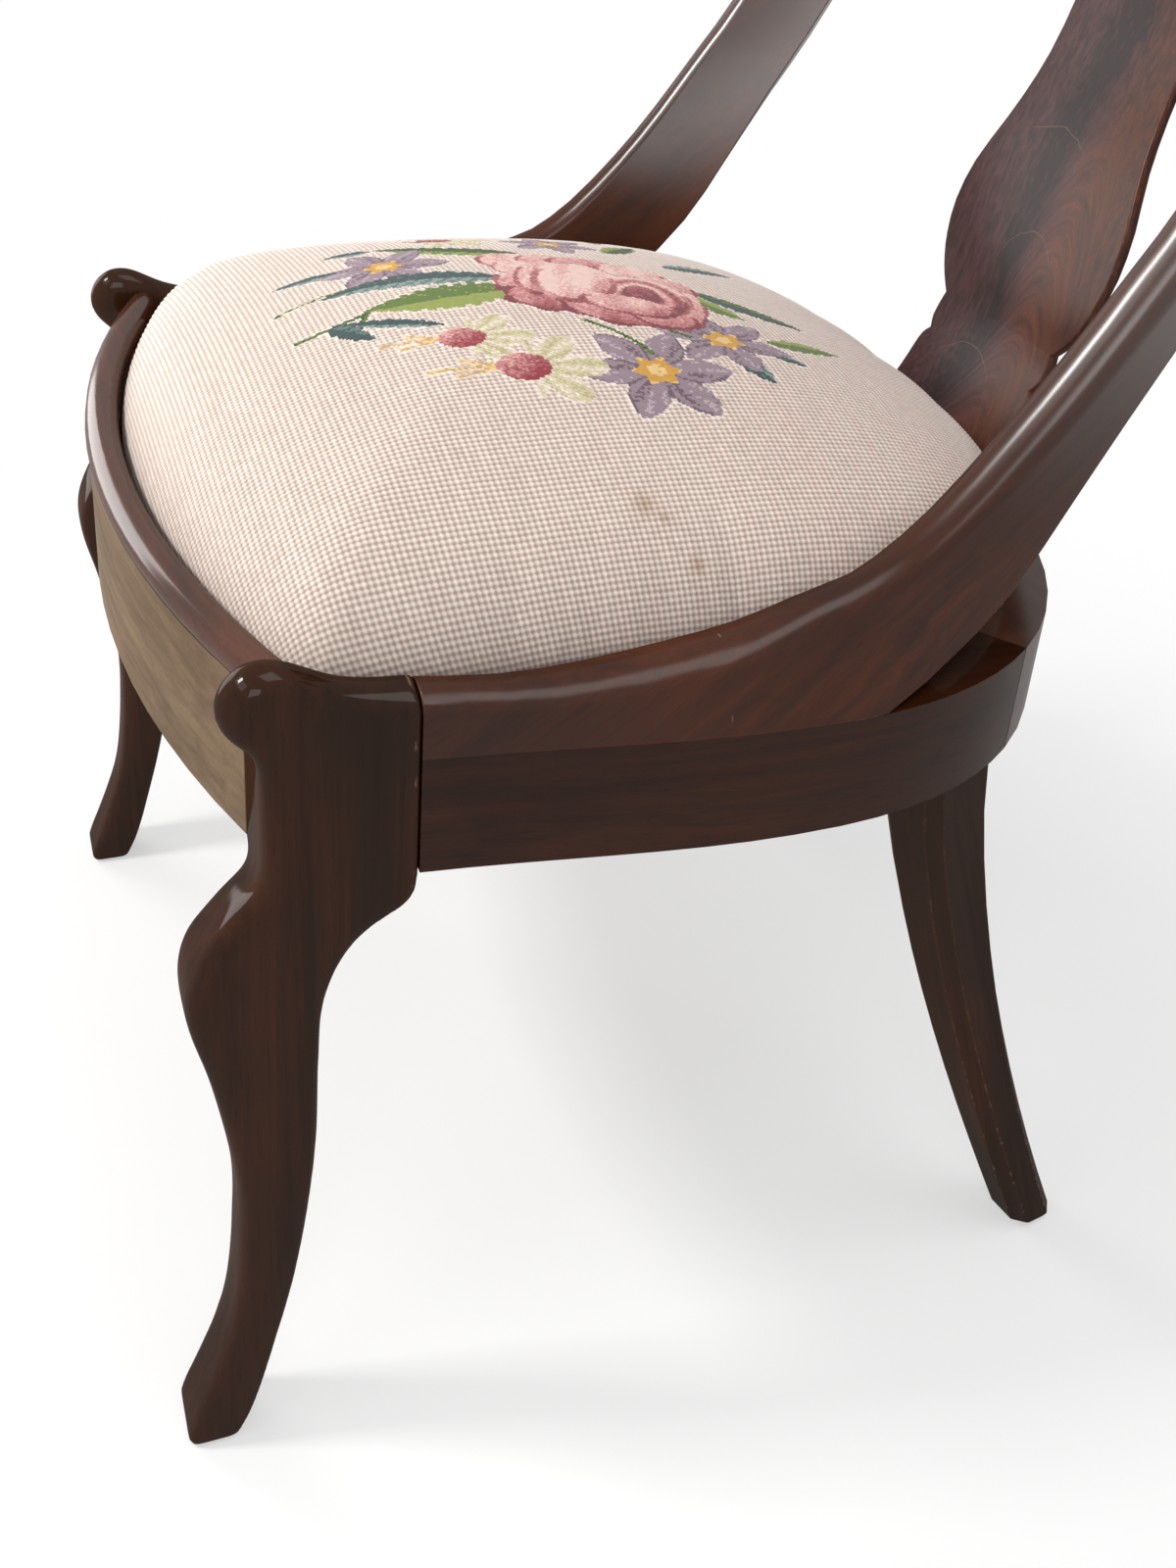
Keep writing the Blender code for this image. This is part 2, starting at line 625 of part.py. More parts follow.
def side_rail_mesh(sign):
    """Side rail between the front leg and the joint in the round back."""
    start = LEG_JOINT_Y + FIT
    outer = [Vector((rail_half_width(y), y)) for y in
             (start + (BELLY_Y - start) * i / 8 for i in range(8))]
    inner = [p - Vector((RAIL_THICKNESS, 0.0)) for p in outer]
    angles = [REAR_JOINT_ANGLE * i / 8 for i in range(9)]
    outer += [rail_corner(max(a, 0.001)) for a in angles]
    inner += [inset(max(a, 0.02), RAIL_THICKNESS) for a in angles]
    return plate([(sign * p.x, p.y) for p in rail_outline(outer, inner)], RAIL_HEIGHT)


def rear_rail_mesh():
    """Rear rail round the back of the seat."""
    gap_angle = FIT / (rail_corner(REAR_JOINT_ANGLE + 0.5).y - rail_corner(REAR_JOINT_ANGLE).y)
    start = REAR_JOINT_ANGLE + gap_angle
    angles = [start + (0.5 * pi - start) * i / 10 for i in range(11)]
    outer = [rail_corner(a) for a in angles]
    inner = [inset(min(a, 0.5 * pi - 0.011), RAIL_THICKNESS) for a in angles]
    inner[-1] = Vector((0.0, REAR_Y - RAIL_THICKNESS))
    full_outer = outer + [Vector((-p.x, p.y)) for p in reversed(outer[:-1])]
    full_inner = inner + [Vector((-p.x, p.y)) for p in reversed(inner[:-1])]
    return plate(rail_outline(full_outer, full_inner), RAIL_HEIGHT)


def front_rail_mesh():
    """Bowed front rail between the legs."""
    end = LEG_INNER_X - FIT
    across = [end * (i / 8 - 1.0) for i in range(17)]
    outer = [Vector((x, front_face_y(x))) for x in across]
    inner = [p + Vector((0.0, FRONT_RAIL_THICKNESS)) for p in outer]
    return plate(rail_outline(outer, inner), FRONT_RAIL_HEIGHT)


def bead_mesh():
    """Rounded moulding along the top of the front rail, from nub to nub."""
    end = STILE_INNER_X - FIT
    depth = SEAT_FRONT_WALL - SEAT_CLEARANCE + BEAD_OVERHANG
    bottom = FRONT_RAIL_TOP_Z + FIT
    rings = []
    for i in range(21):
        x = end * (i / 10 - 1.0)
        front = front_face_y(x) - BEAD_OVERHANG
        middle = front + 0.5 * depth
        ring = [(x, front + depth, bottom), (x, front + BEAD_EDGE, bottom)]
        for k in range(9):
            turn = pi * k / 8
            rise = BEAD_SPRING + (1.0 - BEAD_SPRING) * sin(turn)
            ring.append((x, middle - 0.5 * depth * cos(turn), bottom + BEAD_HEIGHT * rise))
        rings.append(ring)
    return loft(rings)


def rear_leg_frame():
    """Top centre and turn of a rear leg under the side rail, on the +X side."""
    normal = inward_at(REAR_LEG_ANGLE)
    centre = inset(REAR_LEG_ANGLE, REAR_LEG_SETBACK + 0.5 * REAR_LEG_TOP_THICKNESS)
    return centre, Vector((1.0, 0.0)).angle_signed(-normal)


def leg_ring(centre, z, width, thickness, turn, corner, sign):
    """Level section of a rear leg with cut corners."""
    a, b = 0.5 * thickness, 0.5 * width
    flat = [(a, corner - b), (a, b - corner), (a - corner, b), (corner - a, b),
            (-a, b - corner), (-a, corner - b), (corner - a, -b), (a - corner, -b)]
    ring = []
    for across, back in flat:
        x = centre.x + across * cos(turn) - back * sin(turn)
        y = centre.y + across * sin(turn) + back * cos(turn)
        ring.append((sign * x, y, z))
    return ring


def rear_leg_mesh(sign):
    """Sabre leg that sweeps back under the rear corner, with its tenon."""
    top, turn = rear_leg_frame()
    turn = -turn
    shoulder_z = RAIL_BOTTOM_Z - FIT
    rings = [leg_ring(top + Vector((REAR_LEG_SWEEP_OUT, REAR_LEG_SWEEP_BACK)), 0.0,
                      REAR_LEG_FOOT_WIDTH - 2.0 * REAR_LEG_CHAMFER,
                      REAR_LEG_FOOT_THICKNESS - 2.0 * REAR_LEG_CHAMFER,
                      REAR_LEG_FOOT_TURN, REAR_LEG_CORNER, sign)]
    for i in range(12):
        share = REAR_LEG_CHAMFER_SHARE + (1.0 - REAR_LEG_CHAMFER_SHARE) * i / 11
        fall = (1.0 - share) ** REAR_LEG_SWEEP_POWER
        centre = top + Vector((REAR_LEG_SWEEP_OUT * (1.0 - share), REAR_LEG_SWEEP_BACK * fall))
        swell = share ** REAR_LEG_WIDTH_POWER
        width = REAR_LEG_FOOT_WIDTH + (REAR_LEG_TOP_WIDTH - REAR_LEG_FOOT_WIDTH) * swell
        thick = REAR_LEG_FOOT_THICKNESS + (REAR_LEG_TOP_THICKNESS - REAR_LEG_FOOT_THICKNESS) * share
        twist = REAR_LEG_FOOT_TURN + (turn - REAR_LEG_FOOT_TURN) * share
        rings.append(leg_ring(centre, shoulder_z * share, width, thick, twist, REAR_LEG_CORNER, sign))
    for z in (shoulder_z, RAIL_BOTTOM_Z + REAR_TENON_LENGTH):
        rings.append(leg_ring(top, z, REAR_TENON_WIDTH, REAR_TENON_THICKNESS, turn, REAR_TENON_CORNER,
                              sign))
    return loft(rings)


def rear_mortise(sign):
    """Cutter for the mortise of a rear leg's tenon."""
    top, turn = rear_leg_frame()
    rings = [leg_ring(top, z, REAR_TENON_WIDTH + 2.0 * FIT, REAR_TENON_THICKNESS + 2.0 * FIT, -turn,
                      REAR_TENON_CORNER, sign)
             for z in (RAIL_BOTTOM_Z - 2.0 * FIT, RAIL_BOTTOM_Z + REAR_TENON_LENGTH + FIT)]
    return cutter(side_name("rear_mortise", sign), loft(rings))


def back_rise(drawn):
    """Height over the rail of a drawn height on the back, stretched above where the stiles lift off."""
    return drawn + max(drawn - LIFT_OFF_RISE, 0.0) * (BACK_SCALE - 1.0)


def drawn_rise(rise):
    """Drawn height of a height over the rail on the back."""
    return rise - max(rise - LIFT_OFF_RISE, 0.0) * (1.0 - 1.0 / BACK_SCALE)


def stile_stations():
    """Front and rear edge of the +X stile along its middle, and its thickness at both edges."""
    def crest_place(y):
        share = (y - CREST_FRONT_Y) / (CREST_REAR_Y - CREST_FRONT_Y)
        x = CREST_HALF_WIDTH * (1.0 - share ** CREST_FULLNESS) ** (1.0 / CREST_FULLNESS)
        return Vector((x, y, CREST_END_Z - FIT))

    front, rear, thick = [], [], []
    for top_y, rise, lean, foot_y in STILE_ON_RAIL:
        top_x = rail_half_width(top_y) - lean
        foot_x = rail_half_width(foot_y)
        front.append(Vector((0.5 * (top_x + STILE_INNER_X), top_y, RAIL_TOP_Z + rise)))
        rear.append(Vector((0.5 * (foot_x + STILE_INNER_X), foot_y, RAIL_TOP_Z + FIT)))
        thick.append((top_x - STILE_INNER_X, foot_x - STILE_INNER_X))
    front[0].y += FIT
    rear[0].y += FIT
    spare = thick[-1][1] - STILE_THICKNESS
    for number, (top, foot) in enumerate(STILE_FREE):
        front.append(Vector((FRONT_HALF_WIDTH - top[0], top[1], RAIL_TOP_Z + back_rise(top[2]))))
        rear.append(Vector((FRONT_HALF_WIDTH - foot[0], foot[1], RAIL_TOP_Z + back_rise(foot[2]))))
        thick.append((STILE_THICKNESS, STILE_THICKNESS + spare * STILE_FOOT_FALL ** (number + 1)))
    front.append(crest_place(STILE_TOP_FRONT_Y))
    rear.append(crest_place(STILE_TOP_REAR_Y))
    thick.append((STILE_THICKNESS, STILE_THICKNESS))
    front, rear = spline(front, 2), spline(rear, 2)
    for place in rear:
        place.z = max(place.z, RAIL_TOP_Z + FIT)
    return front, rear, spline(thick, 2)


def stile_mesh(sign):
    """Stile with a rounded front edge, from the front leg along the rail and up to the crest."""
    front, rear, thick = stile_stations()
    rings = []
    last = len(front) - 1
    for i, (top, low, size) in enumerate(zip(front, rear, thick)):
        across = (top - low).normalized()
        run = 0.5 * (front[min(i + 1, last)] + rear[min(i + 1, last)]
                     - front[max(i - 1, 0)] - rear[max(i - 1, 0)])
        if i == 0:
            run = Vector((0.0, 1.0, 0.0))
        if i == last:
            run = Vector((0.0, 0.0, 1.0))
        side = run.cross(across).normalized()
        if low.z < RAIL_TOP_Z + 2.0 * FIT:
            across = Vector((0.0, across.y, across.z)).normalized()
            side = Vector((1.0, 0.0, 0.0))
        shoulder = top - across * STILE_NOSE_DEPTH
        ring = [low - side * 0.5 * size.y, low + side * 0.5 * size.y]
        for k in range(7):
            turn = pi * k / 6
            ring.append(shoulder + side * 0.5 * size.x * cos(turn) + across * STILE_NOSE_DEPTH * sin(turn))
        rings.append([(sign * p.x, p.y, p.z) for p in ring])
    return loft(rings)


def crest_point(share):
    """Middle of the crest rail in plan; share runs from -1 at one end over 0 to 1 at the other."""
    start = (CREST_END_Y - CREST_FRONT_Y) / (CREST_REAR_Y - CREST_FRONT_Y)
    first = 0.5 * pi * start ** CREST_START_POWER
    angle = first + (0.5 * pi - first) * (1.0 - abs(share))
    place = oval(CREST_HALF_WIDTH, CREST_FRONT_Y, CREST_REAR_Y, CREST_FULLNESS, angle)
    return Vector((place.x if share > 0 else -place.x, place.y))


def crest_mesh():
    """Crest rail: a curved yoke with an arched top and rounded edges."""
    rings = []
    half = 0.5 * CREST_THICKNESS
    for i in range(25):
        share = i / 12 - 1.0
        centre = crest_point(share)
        ahead = crest_point(min(share + 0.02, 1.0)) - crest_point(max(share - 0.02, -1.0))
        back = Vector((-ahead.y, ahead.x)).normalized()
        arch = 1.0 - smooth((abs(share) - CREST_ARCH_START) / CREST_ARCH_RUN)
        low = CREST_END_Z + (CREST_ARCH_Z - CREST_END_Z) * arch
        high = CREST_TOP_Z - CREST_END_DROP * abs(share) ** 3
        section = [(-half, low), (half, low), (half, high - half), (0.8 * half, high - 0.4 * half),
                   (0.3 * half, high), (-0.3 * half, high), (-0.8 * half, high - 0.4 * half),
                   (-half, high - half)]
        ring = []
        for across, z in section:
            place = centre + back * across
            ring.append((place.x, place.y, z))
        rings.append(ring)
    return loft(rings)


def splat_front_y(rise):
    """Front face of the splat at a height over the rail."""
    return SPLAT_BASE_Y + along(SPLAT_LEAN, drawn_rise(rise))


def splat_mesh():
    """Vase-shaped splat, leaning back, with a tenon at its foot and at its head."""
    top = CREST_ARCH_Z - FIT - RAIL_TOP_Z
    sections = [(FIT, SPLAT_LOBES[0][0][1])]
    for lobe in SPLAT_LOBES:
        ends = list(lobe)
        if lobe is SPLAT_LOBES[-1]:
            ends.append((drawn_rise(top), SPLAT_TOP_HALF_WIDTH))
        sections += [(back_rise(p.x), p.y) for p in spline(ends, 2) if p.x > FIT]
    tenon = SPLAT_TENON_HALF_WIDTH
    sections = [(-SPLAT_TENON_LENGTH, tenon), (FIT, tenon)] + sections
    sections += [(top, tenon), (top + SPLAT_TENON_LENGTH, tenon)]
    rings = []
    for rise, half in sections:
        front = splat_front_y(min(max(rise, 0.0), top))
        e = SPLAT_EDGE
        if half == tenon:
            rear, inset = front + SPLAT_TENON_THICKNESS, half - e
            rim = rear - e
        else:
            rear, inset = front + SPLAT_THICKNESS, half - SPLAT_CHAMFER_WIDTH
            rim = front + SPLAT_RIM_THICKNESS
        ring = [(e - half, front), (half - e, front), (half, front + e), (half, rim),
                (inset, rear), (-inset, rear), (-half, rim), (-half, front + e)]
        rings.append([(x, y, RAIL_TOP_Z + rise) for x, y in ring])
    return loft(rings)


def splat_mortise(name, rise, length):
    """Cutter for the slot that takes a tenon of the splat, from one height up to another."""
    front = splat_front_y(max(rise, 0.0)) - FIT
    rear = front + SPLAT_TENON_THICKNESS + 2.0 * FIT
    half = SPLAT_TENON_HALF_WIDTH + FIT
    outline = [(-half, front), (half, front), (half, rear), (-half, rear)]
    return cutter(name, plate(outline, length), (0.0, 0.0, RAIL_TOP_Z + rise + 0.5 * length))


def front_block_outline(sign):
    """Corner block between the front rail, the front leg and the side rail, in plan."""
    reach_x, reach_y = FRONT_BLOCK_REACH_X, FRONT_BLOCK_REACH_Y
    leg_x = LEG_INNER_X - FIT
    rail_x = rail_half_width(LEG_JOINT_Y) - RAIL_THICKNESS - FIT
    outline = []
    for i in range(5):
        x = reach_x + (leg_x - reach_x) * i / 4
        outline.append(Vector((x, front_face_y(x) + FRONT_RAIL_THICKNESS + FIT)))
    outline += [Vector((leg_x, LEG_JOINT_Y - FIT)), Vector((rail_x, LEG_JOINT_Y - FIT))]
    for i in range(3):
        y = LEG_JOINT_Y + FIT + (reach_y - LEG_JOINT_Y) * i / 2
        outline.append(Vector((rail_half_width(y) - RAIL_THICKNESS - 2.0 * FIT, y)))
    return [(sign * p.x, p.y) for p in outline]


def rear_block_outline(sign):
    """Corner block across the joint of the side rail and the rear rail, in plan."""
    angles = [REAR_BLOCK_START + (REAR_BLOCK_END - REAR_BLOCK_START) * i / 7 for i in range(8)]
    return [(sign * p.x, p.y) for p in (inset(a, RAIL_THICKNESS + 2.0 * FIT) for a in angles)]


def screw_mesh():
    """Countersunk wood screw with its head at z = 0, pointing down."""
    head = 0.5 * SCREW_HEAD_DIAMETER
    shank = 0.5 * SCREW_SHANK_DIAMETER
    length = SCREW_GRIP + SCREW_HEAD_HEIGHT
    return turned([(0.0, 0.0), (head, 0.0), (shank, -SCREW_HEAD_HEIGHT), (shank, SCREW_TIP - length),
                   (0.0, -length)], SCREW_SIDES)


def screw_hole_mesh():
    """Room for a screw, with clearance, open above its head."""
    head = 0.5 * SCREW_HEAD_DIAMETER + FIT
    shank = 0.5 * SCREW_SHANK_DIAMETER + FIT
    length = SCREW_GRIP + SCREW_HEAD_HEIGHT + FIT
    return turned([(0.0, SCREW_HEADROOM), (head, SCREW_HEADROOM), (head, -FIT),
                   (shank, -SCREW_HEAD_HEIGHT - FIT), (shank, -length), (0.0, -length)], SCREW_SIDES)


def screw_places():
    """Screws through the corner blocks into the rails, two for each block, by name."""
    middle_z = 0.5 * (RAIL_BOTTOM_Z + LEDGE_Z - BLOCK_CLEARANCE)
    in_block = 0.5 * SCREW_GRIP
    places = {}
    front_y = front_face_y(FRONT_SCREW_X) + FRONT_RAIL_THICKNESS
    side_x = rail_half_width(SIDE_SCREW_Y) - RAIL_THICKNESS
    for sign in SIGNS:
        base = side_name("front_block_screw", sign)
        places[base + "_1"] = pointing((sign * FRONT_SCREW_X, front_y + in_block, middle_z),
                                       (0.0, 1.0, 0.0))
        places[base + "_2"] = pointing((sign * (side_x - in_block), SIDE_SCREW_Y, middle_z),
                                       (-sign, 0.0, 0.0))
        base = side_name("rear_block_screw", sign)
        for number, angle in enumerate(REAR_SCREW_ANGLES, 1):
            normal = inward_at(angle)
            head = inset(angle, RAIL_THICKNESS + in_block)
            places["%s_%d" % (base, number)] = pointing((sign * head.x, head.y, middle_z),
                                                        (sign * normal.x, normal.y, 0.0))
    return places


def seat_height(share):
    """Height of the cover at a share of the way from the middle of the seat to its edge."""
    start = SEAT_EDGE_SHARE
    edge = min(max((share - start) / (1.0 - start), 0.0), 1.0)
    crown = SEAT_CROWN * (1.0 - share ** SEAT_FLATNESS)
    return SEAT_SIDE_TOP_Z + SEAT_EDGE_RISE * sqrt(1.0 - edge * edge) + crown


def dome_rings(inset_by):
    """Rings over the crowned top of the seat, from the edge to the middle."""
    outline = seat_outline(inset_by)
    centre = Vector((0.0, SEAT_CENTRE_Y))
    reach = 0.5 * (SEAT_HALF_WIDTH + SEAT_REAR_Y - SEAT_CENTRE_Y) - inset_by
    rings = []
    for share in DOME_SHARES:
        z = seat_height(share) - inset_by
        squareness = smooth(share)
        ring = []
        for p in outline:
            run = p - centre
            place = centre + run * share * (squareness + (1.0 - squareness) * reach / run.length)
            ring.append((place.x, place.y, z))
        rings.append(ring)
    rings.append([(0.0, SEAT_CENTRE_Y, seat_height(0.0) - inset_by)])
    return rings


def level_ring(inset_by, z):
    """Level ring round the seat."""
    return [(p.x, p.y, z) for p in seat_outline(inset_by)]


def cover_mesh():
    """Needlework cover: a crowned top, drawn over the edge and turned under the slip frame."""
    bottom = LEDGE_Z + FIT
    inside = COVER_THICKNESS
    rings = list(reversed(dome_rings(0.0)))
    rings += [level_ring(0.0, bottom), level_ring(HEM_WIDTH, bottom),
              level_ring(HEM_WIDTH, bottom + COVER_THICKNESS), level_ring(inside, bottom + COVER_THICKNESS)]
    rings += dome_rings(inside)
    return loft(rings, capped=False)


def stuffing_mesh():
    """Curled-hair stuffing under the cover."""
    side = COVER_THICKNESS + FIT
    rings = [[(0.0, SEAT_CENTRE_Y, STUFFING_Z)], level_ring(side, STUFFING_Z)]
    return loft(rings + dome_rings(side)[1:], capped=False)


def slip_board_outlines():
    """Plan of the four boards of the slip frame, by name."""
    edge = seat_outline(COVER_THICKNESS + FIT)
    front_y, rear_y = SLIP_FRONT_BOARD_Y, SLIP_REAR_BOARD_Y

    def edge_x(y):
        right = [p for p in edge if p.x > 0.0]
        for a, b in zip(right, right[1:]):
            if a.y <= y <= b.y and y > LEG_FACE_Y:
                return a.x + (b.x - a.x) * (y - a.y) / (b.y - a.y)
        raise ValueError("no edge of the seat at y = %.4f" % y)

    front = [p for p in edge if p.y < front_y]
    front_left = [p for p in front if p.x >= 0.0]
    front_right = [Vector((-p.x, p.y)) for p in reversed(front_left) if p.x > 0.0]
    front_edge = edge_x(front_y)
    rear_left = [p for p in edge if p.y > rear_y and p.x > 0.0]
    middle = [Vector((0.0, SEAT_REAR_Y - COVER_THICKNESS - FIT))]
    rear_right = [Vector((-p.x, p.y)) for p in reversed(rear_left)]
    rear_edge = edge_x(rear_y)
    side = [p for p in edge if front_y + FIT < p.y < rear_y - FIT and p.x > 0.0]
    side = ([Vector((edge_x(front_y + FIT), front_y + FIT))] + side
            + [Vector((edge_x(rear_y - FIT), rear_y - FIT)),
               Vector((SLIP_SIDE_BOARD_X, rear_y - FIT)), Vector((SLIP_SIDE_BOARD_X, front_y + FIT))])
    return {
        "slip_board_front": front_left + [Vector((front_edge, front_y)), Vector((-front_edge, front_y))]
        + front_right,
        "slip_board_rear": [Vector((rear_edge, rear_y))] + rear_left + middle + rear_right
        + [Vector((-rear_edge, rear_y))],
        "slip_board_left": side,
        "slip_board_right": [Vector((-p.x, p.y)) for p in side],
    }


def strip_places(count, pitch):
    """Middles of evenly spaced strips."""
    return [pitch * (i - 0.5 * (count - 1)) for i in range(count)]


def strip_mesh(across, length):
    """Flat band of webbing."""
    bm = bmesh.new()
    bmesh.ops.create_cube(bm, size=1.0, matrix=Matrix.Diagonal((across, length, WEBBING_THICKNESS, 1.0)))
    return mesh_from(bm)


def build_frame():
    """Legs, rails, stiles, splat, crest, corner blocks and their fixings."""
    recess = seat_recess()
    rail_z = RAIL_BOTTOM_Z + 0.5 * RAIL_HEIGHT
    low_z = RAIL_BOTTOM_Z + LOW_DOWEL_RISE
    mid_z = LEDGE_Z - HIGH_DOWEL_DROP
    front_dowel_y = front_face_y(LEG_INNER_X) + 0.5 * FRONT_RAIL_THICKNESS
    side_dowel_x = FRONT_HALF_WIDTH - 0.5 * RAIL_THICKNESS

    front_holes = dowels("front_rail_dowel", [
        ((LEG_INNER_X - DOWEL_DEPTH, front_dowel_y, z), (LEG_INNER_X + DOWEL_DEPTH, front_dowel_y, z))
        for z in (low_z, mid_z)], DOWEL_DIAMETER)
    side_holes = dowels("side_rail_dowel", [
        ((side_dowel_x, LEG_JOINT_Y - DOWEL_DEPTH, z), (side_dowel_x, LEG_JOINT_Y + DOWEL_DEPTH, z))
        for z in (low_z, mid_z)], DOWEL_DIAMETER)
    joint = inset(REAR_JOINT_ANGLE, 0.5 * RAIL_THICKNESS)
    normal = inward_at(REAR_JOINT_ANGLE)
    run = Vector((normal.y, -normal.x)) * REAR_DOWEL_DEPTH
    joint_z = 0.5 * (low_z + mid_z)
    rear_holes = dowels("rear_rail_dowel", [
        ((joint.x - run.x, joint.y - run.y, joint_z), (joint.x + run.x, joint.y + run.y, joint_z))],
        DOWEL_DIAMETER)
    on_rail = [(0.5 * (rail_half_width(y) + STILE_INNER_X), y) for y in STILE_DOWEL_Y]
    stile_holes = dowels("stile_dowel", [
        ((x, y, RAIL_TOP_Z - STILE_DOWEL_DEPTH), (x, y, RAIL_TOP_Z + STILE_DOWEL_DEPTH))
        for x, y in on_rail], STILE_DOWEL_DIAMETER)
    front_line, rear_line, _ = stile_stations()
    head = 0.5 * (front_line[-1] + rear_line[-1])
    crest_holes = dowels("crest_dowel", [
        ((head.x, head.y, CREST_END_Z - DOWEL_DEPTH), (head.x, head.y, CREST_END_Z + DOWEL_DEPTH))],
        DOWEL_DIAMETER)

    places = screw_places()
    screw_holes = cutter("screw_holes", group(screw_hole_mesh(), places.values()))
    for name, place in places.items():
        piece(name, group(screw_mesh(), [place]), STEEL, 0.45, 1.0)

    block_height = LEDGE_Z - BLOCK_CLEARANCE - RAIL_BOTTOM_Z
    block_z = RAIL_BOTTOM_Z + 0.5 * block_height
    for sign in SIGNS:
        leg = piece(side_name("front_leg", sign), front_leg_mesh(sign), MAHOGANY)
        cut(leg, recess, front_holes, side_holes)
        rail = piece(side_name("side_rail", sign), side_rail_mesh(sign), MAHOGANY_RED, at=(0, 0, rail_z))
        cut(rail, recess, side_holes, rear_holes, stile_holes, rear_mortise(sign), screw_holes)
        stile = piece(side_name("stile", sign), stile_mesh(sign), MAHOGANY)
        cut(stile, stile_holes, crest_holes)
        piece(side_name("rear_leg", sign), rear_leg_mesh(sign), MAHOGANY)
        block = piece(side_name("front_corner_block", sign), plate(front_block_outline(sign), block_height),
                      PINE, 0.8, at=(0, 0, block_z))
        cut(block, screw_holes)
        block = piece(side_name("rear_corner_block", sign), plate(rear_block_outline(sign), block_height),
                      PINE, 0.8, at=(0, 0, block_z))
        cut(block, screw_holes)

    front_rail_z = RAIL_BOTTOM_Z + 0.5 * FRONT_RAIL_HEIGHT
    rail = piece("front_rail", front_rail_mesh(), MAHOGANY_RED, at=(0, 0, front_rail_z))
    cut(rail, recess, front_holes, screw_holes)
    piece("front_rail_moulding", bead_mesh(), MAHOGANY_RED)
    slot = SPLAT_TENON_LENGTH + FIT
    rail = piece("rear_rail", rear_rail_mesh(), MAHOGANY_RED, at=(0, 0, rail_z))
    cut(rail, recess, rear_holes, screw_holes, splat_mortise("splat_foot_slot", -slot, slot + FIT))
    piece("splat", splat_mesh(), MAHOGANY_RED, 0.3)
    crest = piece("crest_rail", crest_mesh(), MAHOGANY)
    head_rise = CREST_ARCH_Z - FIT - RAIL_TOP_Z
    cut(crest, crest_holes, splat_mortise("splat_head_slot", head_rise - FIT, slot + 2.0 * FIT))


def slip_tenon(name, sign, spare):
    """Bar through a side board of the slip frame, whose ends are its tenons, made larger by a spare."""
    near = SLIP_SIDE_BOARD_X + SLIP_TENON_SHOULDER - spare
    far = near + SLIP_TENON_WIDTH + 2.0 * spare
    front = SLIP_FRONT_BOARD_Y - SLIP_TENON_LENGTH - spare
    rear = SLIP_REAR_BOARD_Y + SLIP_TENON_LENGTH + spare
    outline = [(sign * near, front), (sign * far, front), (sign * far, rear), (sign * near, rear)]
    return cutter(name, plate(outline, SLIP_TENON_THICKNESS + 2.0 * spare),
                  (0.0, 0.0, SLIP_BOTTOM_Z + 0.5 * SLIP_THICKNESS))


def build_seat():
    """Drop-in seat: slip frame, webbing, hessian, stuffing and cover."""
    slip_z = SLIP_BOTTOM_Z + 0.5 * SLIP_THICKNESS
    mortises = [slip_tenon(side_name("slip_mortise", sign), sign, FIT) for sign in SIGNS]
    for name, outline in slip_board_outlines().items():
        board = piece(name, plate(outline, SLIP_THICKNESS), PINE, 0.8, at=(0, 0, slip_z), carrier=SEAT_ORIGIN)
        if name in ("slip_board_front", "slip_board_rear"):
            cut(board, *mortises)
        else:
            sign = 1 if name == "slip_board_left" else -1
            joined = board.modifiers.new("tenons", "BOOLEAN")
            joined.operation = "UNION"
            joined.solver = "EXACT"
            joined.object = slip_tenon(side_name("slip_tenon", sign), sign, 0.0)

    opening = SLIP_REAR_BOARD_Y - SLIP_FRONT_BOARD_Y
    middle_y = 0.5 * (SLIP_FRONT_BOARD_Y + SLIP_REAR_BOARD_Y)
    half_web = 0.5 * WEBBING_THICKNESS
    for number, x in enumerate(strip_places(WEBBING_STRIPS, 2.0 * SLIP_SIDE_BOARD_X / WEBBING_STRIPS), 1):
        piece("webbing_lengthwise_%d" % number, strip_mesh(WEBBING_WIDTH, opening + 2.0 * WEBBING_LAP),
              JUTE, 0.9, at=(x, middle_y, LENGTHWISE_Z + half_web), carrier=SEAT_ORIGIN)
    for number, y in enumerate(strip_places(WEBBING_STRIPS, opening / WEBBING_STRIPS), 1):
        reach = 2.0 * (SLIP_SIDE_BOARD_X + WEBBING_LAP)
        piece("webbing_crosswise_%d" % number, strip_mesh(reach, WEBBING_WIDTH), JUTE, 0.9,
              at=(0, middle_y + y, CROSSWISE_Z + half_web), carrier=SEAT_ORIGIN)
    piece("hessian", plate(seat_outline(HESSIAN_INSET), HESSIAN_THICKNESS), JUTE, 0.95,
          at=(0, 0, HESSIAN_Z + 0.5 * HESSIAN_THICKNESS), carrier=SEAT_ORIGIN)
    piece("stuffing", stuffing_mesh(), HAIR, 0.95, carrier=SEAT_ORIGIN)
    piece("needlework_cover", cover_mesh(), WOOL, 0.95, carrier=SEAT_ORIGIN)


def centre_chair():
    """Move the whole chair so that its box stands centred over the origin."""
    bpy.context.view_layer.update()
    depsgraph = bpy.context.evaluated_depsgraph_get()
    places = []
    for made in CHAIR.objects:
        if made.type == "MESH":
            ready = made.evaluated_get(depsgraph)
            places += [ready.matrix_world @ v.co for v in ready.data.vertices]
    low_y = min(p.y for p in places)
    high_y = max(p.y for p in places)
    low_z = min(p.z for p in places)
    ROOT.location = (0.0, -0.5 * (low_y + high_y), -low_z)


build_frame()
build_seat()
centre_chair()
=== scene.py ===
"""Looks of the side chair: a French polished mahogany frame and a drop-in seat in wool needlework.

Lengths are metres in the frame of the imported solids: +Z up, -Y the way the sitter faces, +X the sitter's
left.
"""

import logging
import math
from collections.abc import Iterator
from dataclasses import dataclass, field
from enum import Enum
from functools import cached_property

